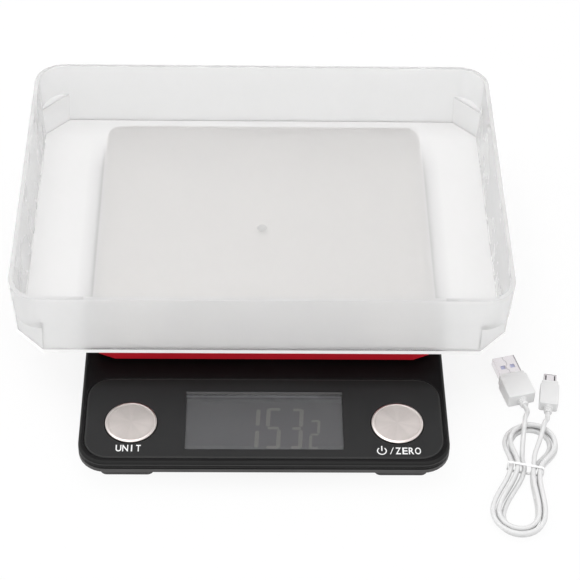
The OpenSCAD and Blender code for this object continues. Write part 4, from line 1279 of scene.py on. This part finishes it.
@dataclass
class Tray:
    """Frosted open box with cut-back lower corners under a stacking ledge."""

    width: float = 0.2528
    length: float = 0.1849
    height: float = 0.0399
    draft: float = 0.0015
    wall: float = 0.0023
    corner_r: float = 0.0156
    corner_cut: float = 0.014
    ledge_z: float = 0.0185
    pip_at: Spot = (-0.0012, 0.0279)
    foot_out: float = 0.0006

    def __post_init__(self) -> None:
        """Takes the tray's place from its CAD node."""
        low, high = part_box("tray")
        self.low_z = low[2]
        self.middle = ((low[0] + high[0]) / 2, (low[1] + high[1]) / 2)

    def shell(self, d: float, low: float, ledge: float) -> bmesh.types.BMesh:
        """Makes one face of the wall, open at the top, with its lower corners cut back.

        Args:
            d: Distance inside the outer face.
            low: Height of its floor.
            ledge: Height of its ledge.

        Returns:
            The open form.
        """
        bm = bmesh.new()
        half_w, half_l = self.width / 2 - self.draft, self.length / 2 - self.draft
        add_block(bm, (d - half_w, d - half_l, low), (half_w - d, half_l - d, self.height), self.corner_r - d, 20)
        top = [f for f in bm.faces if f.normal.z > 0.9]
        bmesh.ops.delete(bm, geom=top, context="FACES_ONLY")
        for x, y in CORNERS:
            rim = [v for v in bm.verts if v.co.z > self.height - NEAR and v.co.x * x > 0 and v.co.y * y > 0]
            bmesh.ops.translate(bm, vec=(x * self.draft, y * self.draft, 0), verts=rim)
        bmesh.ops.bisect_plane(bm, geom=bm.verts[:] + bm.edges[:] + bm.faces[:], dist=MERGE,
                               plane_co=(0, 0, ledge), plane_no=(0, 0, 1))
        for x, y in CORNERS:
            self.cut_corner(bm, x, y, half_w - d * COS_45, half_l - d * COS_45, ledge)
        return bm

    def cut_corner(self, bm: bmesh.types.BMesh, x: int, y: int, a: float, b: float, ledge: float) -> None:
        """Cuts one lower corner back at 45 degrees and closes it with a slope and a ledge.

        Args:
            bm: The form.
            x: Side of the corner.
            y: Front or back.
            a: Half the floor's width at the cut's reference.
            b: Half the floor's length at the cut's reference.
            ledge: Height of the ledge.
        """
        out = Vector((x, y, 0)).normalized()
        on = Vector((x * a, y * (b - self.corner_cut), 0))
        low = [f for f in bm.faces if f.calc_center_median().z < ledge - NEAR]
        geom = set(low) | {e for f in low for e in f.edges} | {v for f in low for v in f.verts}
        bmesh.ops.bisect_plane(bm, geom=list(geom), dist=MERGE, plane_co=on, plane_no=out)
        gone = [f for f in bm.faces if f.calc_center_median().z < ledge - NEAR
                and (f.calc_center_median() - on).dot(out) > NEAR]
        bmesh.ops.delete(bm, geom=gone, context="FACES")
        rim = [e for e in bm.edges if e.is_boundary and all(v.co.z < ledge + NEAR for v in e.verts)
               and all((v.co - on).dot(out) > -NEAR for v in e.verts)]
        ends = [v for v in {v for e in rim for v in e.verts}
                if abs(v.co.z - ledge) < NEAR and abs((v.co - on).dot(out)) < NEAR]
        chord = bmesh.ops.contextual_create(bm, geom=ends)["edges"]
        slope = [e for e in rim if min(v.co.z for v in e.verts) < ledge - NEAR] + chord
        bmesh.ops.contextual_create(bm, geom=slope)
        shelf = [e for e in rim if min(v.co.z for v in e.verts) > ledge - NEAR] + chord
        bmesh.ops.contextual_create(bm, geom=shelf)

    def build_box(self) -> bpy.types.Object:
        """Builds the tray itself.

        Returns:
            The tray.
        """
        bm = self.shell(0.0, 0.0001, self.ledge_z)
        bmesh.ops.recalc_face_normals(bm, faces=bm.faces)
        inner = self.shell(self.wall, self.wall, self.ledge_z + self.wall)
        bmesh.ops.recalc_face_normals(inner, faces=inner.faces)
        bmesh.ops.reverse_faces(inner, faces=inner.faces[:])
        join_into(bm, inner)
        rims = [e for e in bm.edges if e.is_boundary]
        bmesh.ops.bridge_loops(bm, edges=rims)
        bmesh.ops.translate(bm, vec=(*self.middle, self.low_z), verts=bm.verts)
        # The tray's band is a painted shade line where the floor meets the front wall; beside the plate the floor
        # carries a painted shadow.
        finish = ShadedClearPlastic("frosted_tray", grey(0.99), vary=0.004, rough=(0.22, 0.262), grain=0.000003,
                               grain_scale=1800.0, band=(0.42, 0.41, 0.41), band_low=self.low_z + 0.0025,
                               band_high=self.low_z + 0.0034, band_half=0.093, band_back=0.03, fade=0.0001,
                               index=1.42, clear=0.64, plate=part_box("steel_plate")[1][:2])
        tray = to_piece(bm, "clear_tray", finish, Body.TRAY, sharp=180.0)
        round_off = tray.modifiers.new("round_off", "BEVEL")
        round_off.width, round_off.segments = 0.0006, 3
        round_off.limit_method, round_off.angle_limit = "ANGLE", math.radians(25)
        round_off.harden_normals = True
        return tray

    def build_pip(self) -> None:
        """Builds the mark of the mould's gate on the tray's floor."""
        bm = bmesh.new()
        top = self.low_z + self.wall
        turn_profile(bm, [(0.0, -0.0002), (0.0028, -0.0002), (0.0027, 0.00015), (0.0021, 0.0002), (0.0017, 0.00005),
                          (0.0011, 0.0001), (0.0007, 0.0006), (0.0, 0.0007)], (*self.pip_at, top), 48)
        to_piece(bm, "gate_mark", FROSTED, Body.TRAY, sharp=60.0)

    def build_foot(self) -> None:
        """Builds an opaque white ring round the tray's floor, a painted highlight where its bottom edge catches the
        light.
        """
        out, lean = self.foot_out, 0.00047
        half_w, half_l = self.width / 2 - self.draft + out, self.length / 2 - self.draft + out
        bm, raised = flat_ring((2 * half_w, 2 * half_l), self.corner_cut + 0.586 * out, 1, 0.0014, 0.0017)
        bmesh.ops.scale(bm, vec=((half_w - lean) / half_w, (half_l - lean) / half_l, 1.0), verts=raised)
        bmesh.ops.translate(bm, vec=(*self.middle, self.low_z + 0.0007), verts=bm.verts)
        to_piece(bm, "tray_foot_highlight", FOOT_HIGHLIGHT, Body.TRAY)

    def build(self) -> None:
        """Builds the tray, the painted highlight ring round its foot and its mark."""
        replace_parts(self.build_box(), "tray")
        self.build_foot()
        self.build_pip()


# ---------------------------------------------------------------- control panel


@dataclass
class ButtonCap:
    """Turned metal cap of one push button."""

    side: Side
    radius: float = 0.013
    middle: Point = field(init=False)
    top: float = field(init=False)
    low: float = field(init=False)

    def __post_init__(self) -> None:
        """Takes the cap's place from its CAD node."""
        low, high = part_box(self.node())
        self.middle = ((low[0] + high[0]) / 2, (low[1] + high[1]) / 2, 0.0)
        self.low, self.top = low[2], high[2]

    def node(self) -> str:
        """Names the CAD node that this cap stands for."""
        return "unit_button_cap" if self.side is Side.LEFT else "zero_button_cap"

    def profile(self) -> list[Spot]:
        """Gives the cap's profile with its chamfer, which the finish paints bright, and the fine groove inside it."""
        r, top, face = self.radius, self.top, self.top - 0.0001
        return [(0.0, self.low), (r - 0.0004, self.low), (r, self.low + 0.0004), (r, top - 0.00055),
                (r - 0.0001, top - 0.0004), (r - 0.00085, top - 0.00003), (r - 0.00095, top), (r - 0.00105, top),
                (r - 0.00125, face), (r - 0.0019, face), (r - 0.0020, top - 0.00016), (r - 0.0021, top - 0.00016),
                (r - 0.0022, face), (0.006, face), (0.0, face)]

    def build(self) -> None:
        """Builds the cap."""
        bm = bmesh.new()
        turn_profile(bm, self.profile(), self.middle, 128)
        # Both caps are one metal; the zero cap's lighter colour and the unit cap's darker one are painted light and
        # shade.
        body, name, colour = {Side.LEFT: (Body.UNIT, "unit_cap", (0.465, 0.429, 0.413)),
                              Side.RIGHT: (Body.ZERO, "zero_cap", (0.54, 0.497, 0.48))}[self.side]
        finish = SpunMetal(f"spun_{name}", colour, vary=0.025, vary_scale=160.0, rough=(0.3, 0.38),
                           metallic=1.0, grain=0.0000025, middle=self.middle[:2])
        cap = to_piece(bm, name, finish, body, sharp=24.0)
        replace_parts(cap, self.node())


@dataclass
class PrintedWords:
    """White words and the power sign printed on the panel."""

    thickness: float = 0.00006
    sunk: float = 0.00001
    unit_letters: tuple[tuple[str, float, float], ...] = (
        ("U", -73.5, -70.7), ("N", -70.2, -67.35), ("I", -65.95, -65.3), ("T", -63.45, -61.15))
    zero_letters: tuple[tuple[str, float, float], ...] = (
        ("/", 62.1, 64.1), ("Z", 64.95, 67.6), ("E", 68.3, 70.95), ("R", 71.45, 74.05), ("O", 74.55, 77.5))
    sign_at: Spot = (0.05815, -0.1133)
    sign_radii: Spot = (0.0019, 0.00245)
    sign_gap: float = math.radians(38)
    bar_half: float = 0.0003
    bar_ends: Spot = (-0.0001, 0.0032)
    unit_span: Spot = (-0.1141, -0.10995)
    zero_span: Spot = (-0.1154, -0.1111)
    boldness: float = 0.012

    def __post_init__(self) -> None:
        """Takes the panel's top from its CAD node."""
        self.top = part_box("control_panel")[1][2]

    def word(self, name: str, letters: tuple[tuple[str, float, float], ...], span: Spot) -> None:
        """Prints a row of letters, each fitted to its own place.

        Args:
            name: Name of the piece.
            letters: Each letter with its left and right end in millimetres.
            span: Front and back end of the letters in metres.
        """
        bm = bmesh.new()
        for letter, left, right in letters:
            text = bpy.data.curves.new("letter", "FONT")
            text.body, text.size, text.extrude = letter, 1.0, 0.02
            text.offset = -self.boldness if letter == "/" else self.boldness
            text.resolution_u = 6
            holder = bpy.data.objects.new("letter", text)
            bpy.context.scene.collection.objects.link(holder)
            bpy.context.view_layer.update()
            mesh = bpy.data.meshes.new_from_object(holder.evaluated_get(bpy.context.evaluated_depsgraph_get()))
            part = bmesh.new()
            part.from_mesh(mesh)
            corners = [[f(v.co[i] for v in part.verts) for i in range(3)] for f in (min, max)]
            sizes = ((right - left) / 1000, span[1] - span[0], self.thickness)
            bmesh.ops.translate(part, vec=[-c for c in corners[0]], verts=part.verts)
            bmesh.ops.scale(part, vec=[s / (b - a) for s, a, b in zip(sizes, *corners)], verts=part.verts)
            bmesh.ops.translate(part, vec=(left / 1000, span[0], self.top - self.sunk), verts=part.verts)
            join_into(bm, part)
            bpy.data.objects.remove(holder)
            bpy.data.curves.remove(text)
            bpy.data.meshes.remove(mesh)
        to_piece(bm, name, PRINT, Body.HOUSING, sharp=30.0)

    def power_sign(self) -> None:
        """Prints the power sign, an open ring with a bar."""
        bm = bmesh.new()
        (x, y), low, gap = self.sign_at, self.top - self.sunk, self.sign_gap
        line = [bm.verts.new((x + r * math.sin(gap), y + r * math.cos(gap), self.top)) for r in self.sign_radii]
        bmesh.ops.spin(bm, geom=line + [bm.edges.new(line)], cent=(x, y, 0), axis=(0, 0, -1),
                       angle=math.tau - 2 * gap, steps=48, use_merge=False, use_duplicate=False)
        bmesh.ops.solidify(bm, geom=bm.faces[:], thickness=self.thickness)
        bmesh.ops.recalc_face_normals(bm, faces=bm.faces)
        bmesh.ops.translate(bm, vec=(0, 0, low - min(v.co.z for v in bm.verts)), verts=bm.verts)
        add_block(bm, (x - self.bar_half, y + self.bar_ends[0], low),
                  (x + self.bar_half, y + self.bar_ends[1], low + self.thickness), 0.00025, 4)
        to_piece(bm, "power_sign", PRINT, Body.HOUSING, sharp=30.0)

    def build(self) -> None:
        """Prints all of it."""
        self.word("unit_label", self.unit_letters, self.unit_span)
        self.word("zero_label", self.zero_letters, self.zero_span)
        self.power_sign()


@dataclass
class Digits:
    """Seven-segment digits of the display, thin films on its glass."""

    slant: float = 0.053
    thickness: float = 0.00004
    large_from: float = 0.02
    strokes: tuple[Spot, Spot] = ((0.0015, 0.0013), (0.0021, 0.0018))
    gaps: Spot = (0.0007, 0.0011)
    one_gap: float = 0.0016
    figures: tuple[tuple[str, str, float, float, float, float], ...] = (
        ("1", "bc", -0.00452, -0.00242, -0.11015, -0.0842), ("5", "acdfg", 0.0006, 0.00845, -0.1104, -0.0837),
        ("3", "abcdg", 0.0130, 0.0194, -0.1104, -0.0841), ("2", "abdeg", 0.0225, 0.0278, -0.1107, -0.0917))

    def __post_init__(self) -> None:
        """Takes the glass's top from its CAD node."""
        self.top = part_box("lcd_glass")[1][2]

    def bar(self, bm: bmesh.types.BMesh, start: Spot, end: Spot, width: float) -> None:
        """Adds one segment, a flat bar with pointed ends.

        Args:
            bm: Where the segment goes.
            start: One end.
            end: The other end.
            width: Width of the bar.
        """
        part = bmesh.new()
        bmesh.ops.create_cube(part, size=1.0)
        along = Vector((end[0] - start[0], end[1] - start[1]))
        bmesh.ops.scale(part, vec=(along.length, width, self.thickness), verts=part.verts)
        round_edges(part, upright_edges(part), width * 0.3, 1)
        turn = math.atan2(along.y, along.x)
        middle = ((start[0] + end[0]) / 2, (start[1] + end[1]) / 2, self.top + self.thickness / 2)
        bmesh.ops.transform(part, matrix=Matrix.Translation(middle) @ Matrix.Rotation(turn, 4, "Z"),
                            verts=part.verts)
        join_into(bm, part)

    def build(self) -> None:
        """Builds all the figures as one film."""
        bm = bmesh.new()
        for figure, parts, left, right, low, high in self.figures:
            large, middle = high - low > self.large_from, (low + high) / 2
            wide, flat = self.strokes[large]
            gap = self.one_gap if figure == "1" else self.gaps[large]
            x0, x1, y0, y1 = left + wide / 2, right - wide / 2, low + flat / 2, high - flat / 2
            a, b = left + wide * 0.45, right - wide * 0.45
            level = {"a": y1, "g": middle, "d": y0}
            upright = {"b": (x1, high - flat * 0.3, middle + gap), "c": (x1, middle - gap, low + flat * 0.3),
                       "f": (x0, high - flat * 0.3, middle + gap), "e": (x0, middle - gap, low + flat * 0.3)}
            if figure == "1":
                upright = {key: (x0, top, end) for key, (_, top, end) in upright.items()}
            for part in parts:
                if part in level:
                    shift = self.slant * (level[part] - middle)
                    self.bar(bm, (a + shift, level[part]), (b + shift, level[part]), flat)
                else:
                    x, top, end = upright[part]
                    self.bar(bm, (x + self.slant * (top - middle), top), (x + self.slant * (end - middle), end), wide)
        finish = Finish("lit_digits", (0.262, 0.244, 0.234), vary=0.04, rough=(0.45, 0.55), grain=0.000002)
        to_piece(bm, "display_digits", finish, Body.HOUSING, sharp=30.0)


@dataclass
class ControlPanel:
    """Front panel with its buttons, words and display."""

    film: float = 0.00004
    back_band_in: float = 0.0015

    def build_window_light_films(self) -> None:
        """Builds two films at the back edge of the display's window: a grey one on top of the lens that paints the
        reflection seen there, and one under the lens whose painted light grows towards the back against the shade
        there.
        """
        low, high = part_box("display_lens")
        half, back = (high[0] - low[0]) / 2, high[1] - self.back_band_in
        grey = DisplayCell("window_painted_light_grey", (0.545, 0.545, 0.556), vary=0.03, rough=(0.35, 0.45),
                           grain=0.000002, front=back - 0.0028, back=back - 0.0004, gain=-0.72)
        # The first film is painted light under the lens's back edge; the second paints the reflection on top of the
        # lens.
        films = (("window_painted_light", grey, half - 0.0003, (back - 0.006, back + 0.0012), low[2] - 0.00028, 0.0004),
                 ("window_painted_reflection", WINDOW_REFLECTION, half - 0.0016, (back - 0.0017, back - 0.00012),
                  high[2] + 0.00001, 0.0001))
        for name, finish, side, (front, end), base, corner in films:
            bm = bmesh.new()
            add_block(bm, (-side, front, base), (side, end, base + self.film), corner, 3)
            to_piece(bm, name, finish, Body.HOUSING)

    def build(self) -> None:
        """Builds the panel's own pieces and dresses the display."""
        low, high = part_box("lcd_glass")
        # Painted shade darkens the cell towards its back edge.
        cell = DisplayCell("display_cell", (0.134, 0.134, 0.138), vary=0.03, rough=(0.35, 0.45), grain=0.000002,
                           front=low[1], back=high[1])
        dress_node("lcd_glass", cell)
        low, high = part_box("control_panel")
        # The panel's darker back is painted shade under the tray; its rim line and chamfer tone are painted
        # highlight.
        dress_node("control_panel", HighlitPlate(
            "grey_panel", (0.0185, 0.0185, 0.019), vary=0.05, rough=(0.42, 0.5), specular=0.14, grain=0.000006,
            grain_scale=4200.0, rim=grey(0.042), line=grey(0.028), low=low[:2], high=high[:2]))
        self.build_window_light_films()
        for side in Side:
            ButtonCap(side).build()
        PrintedWords().build()
        Digits().build()


def main() -> None:
    """Builds the scene in order: studio, cable, node finishes, tray, control panel."""
    logging.basicConfig(level=logging.INFO, format="%(message)s")
    Studio().build()
    ChargingCable().build()
    for name, finish in NODE_FINISHES.items():
        dress_node(name, finish)
    Tray().build()
    ControlPanel().build()


if __name__ == "__main__":
    main()
